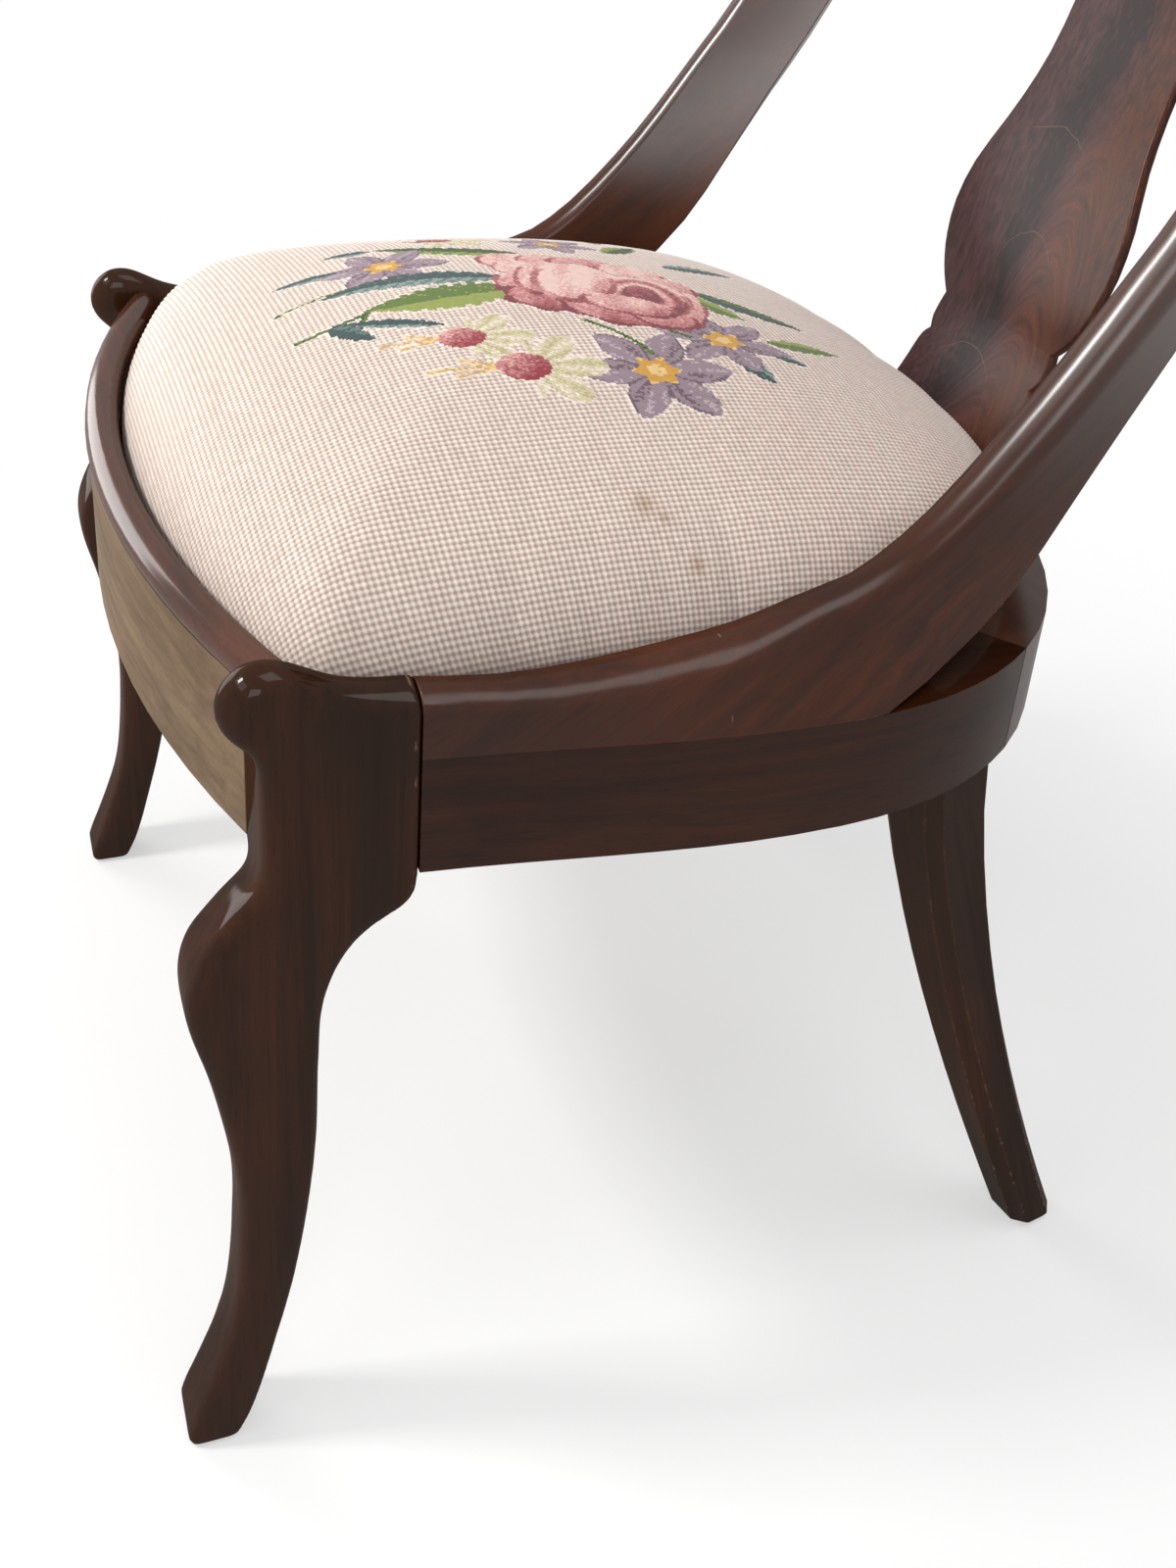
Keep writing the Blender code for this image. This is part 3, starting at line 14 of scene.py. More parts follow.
import bmesh
import bpy
import numpy as np
from bpy.types import ID, Material, Mesh, Node, NodeSocket, Object
from mathutils import Matrix, Vector
from mathutils.bvhtree import BVHTree


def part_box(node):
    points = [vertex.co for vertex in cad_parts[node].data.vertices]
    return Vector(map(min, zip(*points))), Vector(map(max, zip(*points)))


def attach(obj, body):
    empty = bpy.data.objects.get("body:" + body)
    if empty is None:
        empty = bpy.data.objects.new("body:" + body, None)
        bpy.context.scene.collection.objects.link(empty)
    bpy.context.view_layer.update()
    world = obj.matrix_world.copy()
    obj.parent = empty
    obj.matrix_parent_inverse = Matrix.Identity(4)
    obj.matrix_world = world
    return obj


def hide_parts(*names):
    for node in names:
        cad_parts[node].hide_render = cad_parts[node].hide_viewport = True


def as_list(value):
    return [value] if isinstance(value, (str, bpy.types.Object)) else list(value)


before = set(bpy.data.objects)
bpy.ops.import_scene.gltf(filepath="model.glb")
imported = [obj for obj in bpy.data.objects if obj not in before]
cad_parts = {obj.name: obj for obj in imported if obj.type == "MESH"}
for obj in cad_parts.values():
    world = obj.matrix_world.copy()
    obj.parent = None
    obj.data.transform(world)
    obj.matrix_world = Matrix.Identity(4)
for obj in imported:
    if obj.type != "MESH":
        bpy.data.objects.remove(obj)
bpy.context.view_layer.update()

log = logging.getLogger("side_chair")
Triple = tuple[float, float, float]
Rows = np.ndarray
FRAME_BODY = "chair_frame"
SEAT_BODY = "slip_seat"
FULL_TURN = 2.0 * math.pi
WHITE = (1.0, 1.0, 1.0, 1.0)


def tune(target: object, **values: object) -> None:
    """Set several properties of one thing by their names."""
    for key, value in values.items():
        setattr(target, key, value)


def stand(name: str, data: ID) -> Object:
    """Stand a mesh, lamp or camera in the scene.

    Args:
        name: Name of the object.
        data: What it shows.

    Returns:
        The object.
    """
    thing = bpy.data.objects.new(name, data)
    bpy.context.scene.collection.objects.link(thing)
    return thing


class Grain(Enum):
    """Way the grain of a piece of wood runs, as the axis that its streaks follow."""

    UPRIGHT = (0.0, 0.0, 1.0)
    LENGTHWISE = (0.0, 1.0, 0.0)
    CROSSWISE = (1.0, 0.0, 0.0)
    SWEPT = (0.0, 0.80, 0.60)
    RAKED = (0.0, 0.34, -0.94)


class Signal:
    """Value in a node tree, which goes into sums by the usual signs."""

    def __init__(self, graph: "Graph", socket: NodeSocket) -> None:
        """Hold one socket of a tree."""
        self.graph, self.socket = graph, socket

    def sum(self, operation: str, first: object, second: object = 0.0, clamp: bool = False) -> "Signal":
        """Add a node that works on one or two values."""
        return self.graph.value("Math", {0: first, 1: second}, operation=operation, use_clamp=clamp)

    def __add__(self, other: object) -> "Signal":
        """Sum of both."""
        return self.sum("ADD", self, other)

    def __sub__(self, other: object) -> "Signal":
        """Difference of both."""
        return self.sum("SUBTRACT", self, other)

    def __rsub__(self, other: object) -> "Signal":
        """What a number leaves over this value."""
        return self.sum("SUBTRACT", other, self)

    def __mul__(self, other: object) -> "Signal":
        """Product of both."""
        return self.sum("MULTIPLY", self, other)

    def __abs__(self) -> "Signal":
        """Value without its sign."""
        return self.sum("ABSOLUTE", self)

    def sine(self) -> "Signal":
        """Sine of the value."""
        return self.sum("SINE", self)

    def larger(self, other: "Signal") -> "Signal":
        """Larger of both."""
        return self.sum("MAXIMUM", self, other)

    def less(self, other: "Signal") -> "Signal":
        """Difference of both, kept between 0 and 1."""
        return self.sum("SUBTRACT", self, other, True)

    def step(self, low: float, high: float) -> "Signal":
        """Ease from 0 at low to 1 at high."""
        return self.graph.value("MapRange", {"Value": self, "From Min": low, "From Max": high}, "Result",
                                interpolation_type="SMOOTHSTEP")

    def fall(self, low: float, high: float) -> "Signal":
        """Ease from 1 at low to 0 at high."""
        return 1.0 - self.step(low, high)


class Graph:
    """Node tree of a material or of the surround, put together link by link."""

    def __init__(self, name: str, shelf: str = "materials") -> None:
        """Start an empty tree.

        Args:
            name: Name of the material or surround.
            shelf: Collection of bpy.data that it goes into.
        """
        self.owner = getattr(bpy.data, shelf).new(name)
        self.owner.use_nodes = True
        self.tree = self.owner.node_tree
        self.tree.nodes.clear()

    def add(self, kind: str, inputs: dict | None = None, **settings: object) -> Node:
        """Add one node.

        Args:
            kind: Node type without its ShaderNode prefix.
            inputs: Socket names or numbers, each with a signal to link or a value to set.
            settings: Properties of the node.

        Returns:
            The new node.
        """
        node = self.tree.nodes.new("ShaderNode" + kind)
        tune(node, **settings)
        for key, value in (inputs or {}).items():
            if isinstance(value, Signal):
                self.tree.links.new(value.socket, node.inputs[key])
            else:
                node.inputs[key].default_value = value
        return node

    def value(self, kind: str, inputs: dict | None = None, output: int | str = 0,
              **settings: object) -> Signal:
        """Add one node and take one of its outputs."""
        return Signal(self, self.add(kind, inputs, **settings).outputs[output])

    @cached_property
    def place(self) -> Signal:
        """Place on the piece."""
        return self.value("TexCoord", output="Object")

    def axis(self, name: str) -> Signal:
        """One coordinate of the place, by its letter."""
        return self.value("SeparateXYZ", {0: self.place}, name)

    def mix(self, factor: object, first: object, second: object, blend: str = "MIX") -> Signal:
        """Mix two colours.

        Args:
            factor: Share of the second colour, as a signal or number.
            first: Colour as a signal or triple.
            second: Colour as a signal or triple.
            blend: Way to mix.

        Returns:
            The mixed colour.
        """
        first, second = (c if isinstance(c, Signal) else (*c, 1.0) for c in (first, second))
        return self.value("Mix", {0: factor, 6: first, 7: second}, 2, data_type="RGBA", blend_type=blend)

    def noise(self, scale: float, detail: float = 3.0, roughness: float = 0.5, distortion: float = 0.0,
              vector: Signal | None = None) -> Signal:
        """Add a noise pattern.

        Args:
            scale: Cells for each unit of the place.
            detail: Octaves.
            roughness: Weight of the finer octaves.
            distortion: How much the pattern is warped.
            vector: Place to take instead of the place on the piece.

        Returns:
            Value from 0 to 1.
        """
        return self.value("TexNoise", {"Vector": vector or self.place, "Scale": scale, "Detail": detail,
                                       "Roughness": roughness, "Distortion": distortion}, "Fac")

    def streaks(self, grain: Grain, across: float, along: float, detail: float, roughness: float = 0.5,
                distortion: float = 0.0) -> Signal:
        """Noise that runs out along the grain.

        Args:
            grain: Way of the grain.
            across: Cells in a metre across the grain.
            along: Cells in a metre along it.
            detail: Octaves.
            roughness: Weight of the finer octaves.
            distortion: How much the pattern is warped.

        Returns:
            Value from 0 to 1.
        """
        turn = Vector(grain.value).to_track_quat("Z", "Y").inverted().to_euler()
        turned = self.value("Mapping", {"Vector": self.place, "Rotation": turn})
        scaled = self.value("Mapping", {"Vector": turned, "Scale": (across, across, along)})
        return self.noise(1.0, detail, roughness, distortion, scaled)

    def bump(self, height: Signal, strength: float, distance: float) -> Signal:
        """Turn a height into small relief."""
        return self.value("Bump", {"Height": height, "Strength": strength, "Distance": distance})

    def finish(self, kind: str, inputs: dict, output: str = "OutputMaterial") -> ID:
        """Add the shader, send it to the output and hand the material or surround back."""
        self.add(output, {"Surface": self.value(kind, inputs)})
        return self.owner


@dataclass(frozen=True)
class Polish:
    """French polished wood: its colours, figure, gloss and wear."""

    name: str
    dark: Triple
    light: Triple
    red: Triple
    grain: Grain
    roughness: float = 0.24
    haze: float = 0.07
    coat: float = 0.10
    film_ior: float = 2.0
    rubbed_z: tuple[float, float] | None = None
    rubbed_share: float = 0.30
    worn: bool = False
    crotch: bool = False
    foot_z: float = 0.0
    joint_y: float | None = None
    crack_y: float | None = None
    hairs: tuple[Triple, ...] = ((-0.008, 0.052, 18.0), (0.006, 0.118, 30.0), (-0.012, 0.168, 12.0))
    hair_colour: Triple = (0.16, 0.095, 0.06)
    putty_colour: Triple = (0.24, 0.15, 0.09)
    bare_colour: Triple = (0.30, 0.17, 0.10)

    def figure(self, graph: Graph) -> Signal:
        """Share of the light colour in plain wood.

        Args:
            graph: Node tree to add to.

        Returns:
            The share.
        """
        fine = graph.streaks(self.grain, 150.0, 5.0, 5.0, 0.62, 0.6)
        broad = graph.streaks(self.grain, 26.0, 2.2, 3.0, 0.5, 0.8)
        return (fine * 0.55 + broad * 0.55).step(0.36, 0.76)

    def plume(self, graph: Graph) -> Signal:
        """Share of the light colour in crotch veneer: a feather that arches beside a dark heart.

        Args:
            graph: Node tree to add to.

        Returns:
            The share.
        """
        across, height = graph.axis("X"), graph.axis("Z") - self.foot_z
        plain = (graph.streaks(self.grain, 330.0, 5.0, 4.0, 0.6, 0.4) - 0.5) * 0.60 + 0.36
        off = across - (height * 0.05 + 0.020)
        arch = height + off * off * 62.0
        swept = graph.value("CombineXYZ", {0: off * 24.0, 1: 2.0, 2: arch * 140.0})
        feather = (graph.noise(1.0, 5.0, 0.62, 1.3, swept) - 0.5) * 0.72 + 0.46
        inside = abs(off).fall(0.014, 0.036) * height.fall(0.13, 0.21)
        wander = (graph.noise(16.0) - 0.5) * 0.035
        heart = abs(across - height * 0.040 + wander + 0.009)
        both = plain * (1.0 - inside) + feather * inside
        return both.step(0.12, 0.72).less(heart.fall(0.002, 0.022) * 0.40)

    def crazing(self, graph: Graph) -> Signal:
        """Hair cracks that arch across the veneer.

        Args:
            graph: Node tree to add to.

        Returns:
            Share of crack.
        """
        across, height = graph.axis("X"), graph.axis("Z") - self.foot_z
        wander = graph.noise(90.0, 2.0) * 0.005
        lines = []
        for middle, level, bend in self.hairs:
            off = across - middle
            away = abs(height + (off * off * bend + wander) - level)
            lines.append(away.fall(0.0002, 0.0005) * abs(off).fall(0.016, 0.030))
        return lines[0].larger(lines[1]).larger(lines[2])

    def putty(self, graph: Graph, y: float, width: float) -> Signal:
        """Pale filler that shows in broken dashes along a joint or a crack.

        Args:
            graph: Node tree to add to.
            y: Where the joint or crack lies.
            width: Width of the filler.

        Returns:
            Share of filler.
        """
        wander = graph.noise(60.0, 2.0) * 0.0010
        off = abs(graph.axis("Y") + wander - (y + 0.0005))
        return off.fall(0.4 * width, width) * graph.noise(150.0).step(0.56, 0.66)

    def film(self, graph: Graph) -> Signal | float:
        """Share of the coat of polish, which is rubbed thin below the heights in rubbed_z.

        Args:
            graph: Node tree to add to.

        Returns:
            The share, as a signal or a number.
        """
        if self.rubbed_z is None:
            return self.coat
        upper = graph.axis("Z").step(*self.rubbed_z)
        return (upper * (1.0 - self.rubbed_share) + self.rubbed_share) * self.coat

    def material(self) -> Material:
        """Build the finish.

        Returns:
            Material with grain, pores, polish and wear.
        """
        graph = Graph(self.name)
        if self.crotch:
            share, patch = self.plume(graph), graph.axis("X").step(-0.010, 0.040)
        else:
            share, patch = self.figure(graph), graph.noise(7.0, 2.0, 0.5, 0.5).step(0.40, 0.66)
        colour = graph.mix(share, self.dark, graph.mix(patch, self.light, self.red))
        pores = graph.streaks(self.grain, 1500.0, 60.0, 2.0).step(0.56, 0.70)
        colour = graph.mix(pores * 0.45, colour, self.dark)
        if self.crotch:
            colour = graph.mix(self.crazing(graph) * 0.35, colour, self.hair_colour)
        for y, width in ((self.joint_y, 0.0006), (self.crack_y, 0.0005)):
            if y is not None:
                colour = graph.mix(self.putty(graph, y, width) * 0.50, colour, self.putty_colour)
        rough = graph.noise(34.0, 4.0, 0.6) * 0.16 + self.roughness
        if self.worn:
            scuff = graph.noise(210.0, 4.0, 0.65).step(0.50, 0.66)
            amount = scuff * (graph.axis("Z").fall(0.02, 0.16) * 0.35 + 0.10)
            colour = graph.mix(amount, colour, self.bare_colour)
            rough = rough + amount * 0.3
        swell = graph.noise(30.0, 2.0) * 0.6 - pores * 0.06
        return graph.finish("BsdfPrincipled", {
            "Base Color": colour, "Roughness": rough, "Normal": graph.bump(swell, 0.10, 0.002),
            "Specular IOR Level": 0.0, "Coat Weight": self.film(graph), "Coat Roughness": self.haze,
            "Coat IOR": self.film_ior})


@dataclass(frozen=True)
class BareWood:
    """Unpolished wood inside the frame, dulled and browned by age."""

    name: str
    pale: Triple
    dark: Triple
    grain: Grain

    def material(self) -> Material:
        """Build the finish.

        Returns:
            Material with growth rings, saw marks and grime.
        """
        graph = Graph(self.name)
        rings = graph.streaks(self.grain, 170.0, 6.0, 4.0, 0.6, 0.7)
        grime = graph.noise(22.0, 4.0, 0.6).step(0.42, 0.72)
        colour = graph.mix(rings.step(0.35, 0.65), self.dark, self.pale)
        colour = graph.mix(grime * 0.5, colour, self.dark)
        saw = graph.streaks(self.grain, 60.0, 700.0, 2.0)
        return graph.finish("BsdfPrincipled", {
            "Base Color": colour, "Roughness": rings * 0.2 + 0.68, "Normal": graph.bump(saw, 0.25, 0.0006),
            "Specular IOR Level": 0.25})


@dataclass(frozen=True)
class DullSteel:
    """Wood screw steel with a little rust."""

    name: str = "screw_steel"
    steel: Triple = (0.30, 0.29, 0.27)
    brown: Triple = (0.13, 0.062, 0.032)

    def material(self) -> Material:
        """Build the finish.

        Returns:
            Material with bright metal and patches of rust.
        """
        graph = Graph(self.name)
        rust = graph.noise(420.0, 4.0, 0.6).step(0.48, 0.62)
        return graph.finish("BsdfPrincipled", {
            "Base Color": graph.mix(rust, self.steel, self.brown), "Roughness": rust * 0.4 + 0.34,
            "Metallic": 1.0 - rust * 0.8})


@dataclass(frozen=True)
class Jute:
    """Plain weave in jute yarn, as used for webbing and hessian."""

    name: str
    colour: Triple
    pitch: float

    def material(self) -> Material:
        """Build the finish.

        Returns:
            Material with a plain weave, slubs, and painted shade in the hollows of the weave.
        """
        graph = Graph(self.name)
        across, along = ((graph.axis(name) * (math.pi / self.pitch)).sine() for name in "XY")
        slub = graph.noise(140.0, 3.0, 0.6)
        share = (across * along * 0.5 + 0.5) * 0.6 + slub * 0.4
        # Painted shade: the colour falls to about a third of the yarn's where the weave, with its slubs, is
        # low.
        colour = graph.mix(share.step(0.2, 0.8), tuple(0.35 * c for c in self.colour), self.colour)
        return graph.finish("BsdfPrincipled", {
            "Base Color": colour, "Roughness": slub * 0.15 + 0.82, "Normal": graph.bump(share, 0.6, 0.0008),
            "Specular IOR Level": 0.15, "Sheen Weight": 0.2})


@dataclass(frozen=True)
class WoolStitches:
    """Wool tent stitches, coloured stitch by stitch, with painted shade darkening the holes between them."""

    name: str = "wool_stitches"
    # Colour multiplied into the yarn in the holes between stitches: painted shade.
    hole: Triple = (0.44, 0.36, 0.32)

    def material(self) -> Material:
        """Build the finish.

        Returns:
            Material that takes its colour from the stitches of the mesh, darkened by painted shade where the
            nap is low.
        """
        graph = Graph(self.name)
        yarn = graph.value("Attribute", output="Color", attribute_name="yarn")
        nap = graph.value("Attribute", output="Fac", attribute_name="nap")
        # Painted shade: where the nap falls towards a hole, the yarn is multiplied by the hole colour.
        colour = graph.mix(nap.step(0.0, 0.92), graph.mix(1.0, yarn, self.hole, "MULTIPLY"), yarn)
        ply = graph.noise(1900.0, 2.0, 0.6)
        tone = ply * 0.20 + 0.90
        colour = graph.mix(1.0, colour, graph.value("CombineColor", {0: tone, 1: tone, 2: tone}), "MULTIPLY")
        return graph.finish("BsdfPrincipled", {
            "Base Color": colour, "Roughness": ply * 0.12 + 0.86, "Normal": graph.bump(ply, 0.35, 0.0005),
            "Specular IOR Level": 0.12, "Sheen Weight": 0.15, "Sheen Roughness": 0.5})


class Yarn(Enum):
    """Wool shades of the needlework."""

    GROUND = (0.815, 0.712, 0.648)
    STAIN = (0.40, 0.25, 0.12)
    ROSE_DEEP = (0.215, 0.050, 0.062)
    ROSE_DARK = (0.375, 0.110, 0.120)
    ROSE = (0.540, 0.230, 0.225)
    ROSE_PALE = (0.700, 0.395, 0.365)
    ROSE_LIGHT = (0.815, 0.580, 0.530)
    LILAC_DEEP = (0.165, 0.112, 0.140)
    LILAC = (0.310, 0.232, 0.275)
    LILAC_PALE = (0.480, 0.395, 0.425)
    GOLD = (0.620, 0.340, 0.065)
    GOLD_PALE = (0.780, 0.560, 0.260)
    GREEN_DEEP = (0.045, 0.085, 0.026)
    GREEN = (0.120, 0.185, 0.045)
    GREEN_LIGHT = (0.285, 0.340, 0.090)
    TEAL_DEEP = (0.050, 0.085, 0.085)
    TEAL = (0.125, 0.185, 0.175)
    TEAL_PALE = (0.260, 0.330, 0.300)
    OLIVE = (0.500, 0.455, 0.250)
    OLIVE_PALE = (0.640, 0.570, 0.380)
    TAN = (0.560, 0.370, 0.170)
    CRIMSON = (0.300, 0.048, 0.062)


Layer = tuple[Rows, Rows, tuple[Yarn, ...]]
GREENS = (Yarn.GREEN_DEEP, Yarn.GREEN, Yarn.GREEN_LIGHT)
TEALS = (Yarn.TEAL_DEEP, Yarn.TEAL, Yarn.TEAL_PALE)
BRIGHT = (Yarn.GREEN, Yarn.GREEN_LIGHT, Yarn.GREEN_LIGHT)
ROSES = (Yarn.ROSE_DEEP, Yarn.ROSE_DARK, Yarn.ROSE, Yarn.ROSE_PALE, Yarn.ROSE_LIGHT)
CRIMSONS = (Yarn.CRIMSON, Yarn.CRIMSON, Yarn.ROSE_DARK, Yarn.ROSE, Yarn.ROSE_PALE)
LILACS = (Yarn.LILAC_DEEP, Yarn.LILAC, Yarn.LILAC, Yarn.LILAC_PALE)
GOLDS = (Yarn.GOLD, Yarn.GOLD, Yarn.GOLD_PALE)
OLIVES = (Yarn.OLIVE, Yarn.OLIVE_PALE, Yarn.OLIVE_PALE, Yarn.GROUND)


@dataclass
class Motif:
    """Part of the bouquet at a place on the seat, with its direction."""

    x: float
    y: float
    turn: float = 0.0

    def layers(self, along: Rows, aside: Rows, grain: Rows) -> Iterator[Layer]:
        """Layers of stitches, from the lowest to the topmost.

        Args:
            along: Distance of each stitch along the motif's direction.
            aside: Distance to the left of it.
            grain: Random value of each stitch, from 0 to 1.

        Returns:
            For each layer which stitches it takes, their shades from 0 to 1, and its yarns in order.
        """
        raise NotImplementedError

    def stitch(self, places: Rows, grain: Rows, colours: Rows) -> Rows:
        """Work the motif into the ground.

        Args:
            places: Plan of the stitches, one row each.
            grain: Random value of each stitch, from 0 to 1.
            colours: Colours so far, which are changed.

        Returns:
            Which stitches the motif takes.
        """
        dx, dy = places[:, 0] - self.x, places[:, 1] - self.y
        c, s = math.cos(math.radians(self.turn)), math.sin(math.radians(self.turn))
        taken = np.zeros(len(places), bool)
        for inside, tone, yarns in self.layers(dx * c + dy * s, dy * c - dx * s, grain):
            table = np.array([yarn.value for yarn in yarns])
            number = np.clip((tone * len(yarns)).astype(int), 0, len(yarns) - 1)
            colours[inside] = table[number][inside]
            taken |= inside
        return taken


@dataclass
class Stem(Motif):
    """Thin stem that bends."""

    length: float = 0.05
    width: float = 0.0026
    bend: float = 0.0
    shades: tuple[Yarn, ...] = (Yarn.GREEN_DEEP, Yarn.GREEN)

    def run(self, along: Rows, aside: Rows) -> tuple[Rows, Rows, Rows]:
        """Stitches seen from the bent middle line.

        Args:
            along: Distance of each stitch from the foot of the stem.
            aside: Distance to the left of its direction.

        Returns:
            Share of the way along, distance to the left of the line, and which stitches lie beside it.
        """
        t = np.clip(along / self.length, 0.0, 1.0)
        return t, aside - self.bend * t * (1.0 - t) * 4.0, (along > 0.0) & (along < self.length)

    def layers(self, along: Rows, aside: Rows, grain: Rows) -> Iterator[Layer]:
        """Mottled stitches of the stem.

        Args:
            along: Distance of each stitch from the foot of the stem.
            aside: Distance to the left of its direction.
            grain: Random value of each stitch.

        Returns:
            One layer.
        """
        _, aside, beside = self.run(along, aside)
        yield beside & (np.abs(aside) < 0.5 * self.width), grain, self.shades


@dataclass
class Leaf(Stem):
    """Pointed leaf with a rib, two-toned, its edge notched."""

    width: float = 0.012
    shades: tuple[Yarn, ...] = GREENS

    def layers(self, along: Rows, aside: Rows, grain: Rows) -> Iterator[Layer]:
        """Blade of the leaf with its rib and veins.

        Args:
            along: Distance of each stitch from the foot of the leaf.
            aside: Distance to the left of its direction.
            grain: Random value of each stitch.

        Returns:
            One layer.
        """
        t, aside, beside = self.run(along, aside)
        notch = 1.0 - 0.16 * (np.sin(t * self.length * 900.0) > 0.3)
        half = 0.5 * self.width * np.sin(math.pi * t ** 0.8) ** 0.8 * notch
        vein = np.sin((t * self.length * 0.9 - np.abs(aside) * 0.9) * 950.0) * 0.16
        tone = 0.42 + 0.30 * np.sign(aside) + vein + 0.30 * (grain - 0.5)
        tone = np.where(np.abs(aside) < 0.0011, 0.05, tone)
        yield beside & (np.abs(aside) < half), tone, self.shades


@dataclass
class StarFlower(Motif):
    """Open flower of pointed lilac petals round a golden heart."""

    radius: float = 0.032
    petals: int = 6
    stretch: float = 1.0

    def layers(self, along: Rows, aside: Rows, grain: Rows) -> Iterator[Layer]:
        """Petals, then the heart.

        Args:
            along: Distance of each stitch from the middle of the flower.
            aside: Distance to the left of its direction.
            grain: Random value of each stitch.

        Returns:
            Two layers.
        """
        along = along / self.stretch
        reach = np.hypot(along, aside) / self.radius
        angle = np.arctan2(aside, along)
        turn = 2.0 * np.abs((angle * self.petals / FULL_TURN + 0.5) % 1.0 - 0.5)
        rim = 1.0 - 0.36 * turn - 0.14 * turn * turn
        half = np.sign(np.sin(angle * self.petals))
        tone = 0.26 + 0.40 * reach + 0.13 * half + 0.14 * np.cos(9.0 * turn) + 0.34 * (grain - 0.5)
        yield reach < rim, np.where((rim - reach < 0.07) | (turn > 0.90), tone - 0.26, tone), LILACS
        warm = 0.55 + 0.5 * (grain - 0.5) + 0.4 * np.sin(reach * 24.0)
        yield reach < 0.26 + 0.05 * np.cos(self.petals * angle), warm, GOLDS


@dataclass
class Bud(Motif):
    """Crimson bud with a pale tip, pointing along its direction out of an olive cup, with tan threads."""

    size: float = 0.022
    threads: tuple[tuple[float, float], ...] = ((0.0, 1.9), (0.30, 1.45), (-0.34, 1.3))

    def layers(self, along: Rows, aside: Rows, grain: Rows) -> Iterator[Layer]:
        """Cup, threads, then the bloom.

        Args:
            along: Distance of each stitch from the middle of the bud.
            aside: Distance to the left of its direction.
            grain: Random value of each stitch.

        Returns:
            A layer for the cup, for each thread and for the bloom.
        """
        along, aside = along / self.size, aside / self.size
        angle = np.arctan2(aside, -along)
        reach = np.hypot(along + 0.25, aside)
        cup = (reach < 1.18 * (0.45 + 0.55 * np.abs(np.cos(3.5 * angle)))) & (np.abs(angle) < 1.6)
        yield cup, 0.5 + 0.6 * (grain - 0.5) + 0.3 * np.sin(angle * 14.0), OLIVES
        for spread, length in self.threads:
            thread = (along > 0.5) & (along < length) & (np.abs(aside - spread * (along - 0.5)) < 0.055)
            yield thread, grain, (Yarn.TAN, Yarn.GOLD_PALE)
        bloom = ((along - 0.16) / 0.50) ** 2 + (aside / 0.44) ** 2 < 1.0
        yield bloom, 0.46 + 0.50 * along - 0.50 * aside + 0.36 * (grain - 0.5), CRIMSONS


@dataclass(frozen=True)
class Petal:
    """Oval petal: its middle, half sizes, shade, and how it is scalloped, streaked or ringed."""

    u: float
    w: float
    across: float
    up: float
    shade: float
    scallop: float = 0.0
    streak: float = 0.0
    rings: float = 0.0

    def layer(self, u: Rows, w: Rows, grain: Rows) -> Layer:
        """Stitches of the petal, with a dark lower edge.

        Args:
            u: Distance of each stitch across the rose.
            w: Distance up the rose.
            grain: Random value of each stitch.

        Returns:
            One layer.
        """
        du, dw = (u - self.u) / self.across, (w - self.w) / self.up
        reach, angle = np.hypot(du, dw), np.arctan2(dw, du)
        tone = self.shade + 0.16 * dw - 0.10 * du + 0.26 * (grain - 0.5)
        tone = tone + self.streak * np.sin(7.5 * du + 1.2 * dw) + self.streak * np.cos(3.0 * du - 2.0 * dw)
        if self.rings:
            ripple = np.sin(FULL_TURN * self.rings * reach + 0.8 * np.sin(3.0 * angle))
            tone = tone + 0.30 * ripple + 0.22 * reach
        edge = (reach > 0.84) & (dw < 0.45)
        return reach < 1.0 + self.scallop * np.sin(7.0 * angle), np.where(edge, tone - 0.36, tone), ROSES


@dataclass
class Rose(Motif):
    """Full-blown rose seen from its side: frill, pale globe and open bowl, with a second bloom behind."""

    petals: tuple[Petal, ...] = (
        Petal(-0.050, 0.028, 0.017, 0.016, 0.70, streak=0.10),
        Petal(-0.034, 0.034, 0.014, 0.015, 0.62),
        Petal(-0.046, 0.016, 0.012, 0.013, 0.78, streak=0.08),
        Petal(-0.012, 0.037, 0.021, 0.014, 0.52),
        Petal(0.010, 0.036, 0.019, 0.013, 0.74, streak=0.10),
        Petal(0.026, 0.022, 0.018, 0.016, 0.62),
        Petal(-0.040, -0.008, 0.015, 0.018, 0.56, scallop=0.10),
        Petal(-0.026, -0.022, 0.024, 0.018, 0.40, scallop=0.08, streak=0.10),
        Petal(0.006, -0.026, 0.030, 0.018, 0.46, scallop=0.08, streak=0.10),
        Petal(0.036, -0.008, 0.012, 0.028, 0.68, scallop=0.06),
        Petal(0.026, -0.024, 0.018, 0.014, 0.56),
        Petal(0.016, 0.000, 0.025, 0.028, 0.34, rings=2.4),
        Petal(0.0155, 0.002, 0.009, 0.012, 0.14),
        Petal(-0.033, 0.006, 0.013, 0.028, 0.68, streak=0.08),
        Petal(-0.017, 0.005, 0.021, 0.031, 0.82, streak=0.12),
        Petal(0.010, -0.018, 0.024, 0.012, 0.62, streak=0.08))

    def layers(self, along: Rows, aside: Rows, grain: Rows) -> Iterator[Layer]:
        """Petals from the back to the front."""
        return (petal.layer(along, aside, grain) for petal in self.petals)


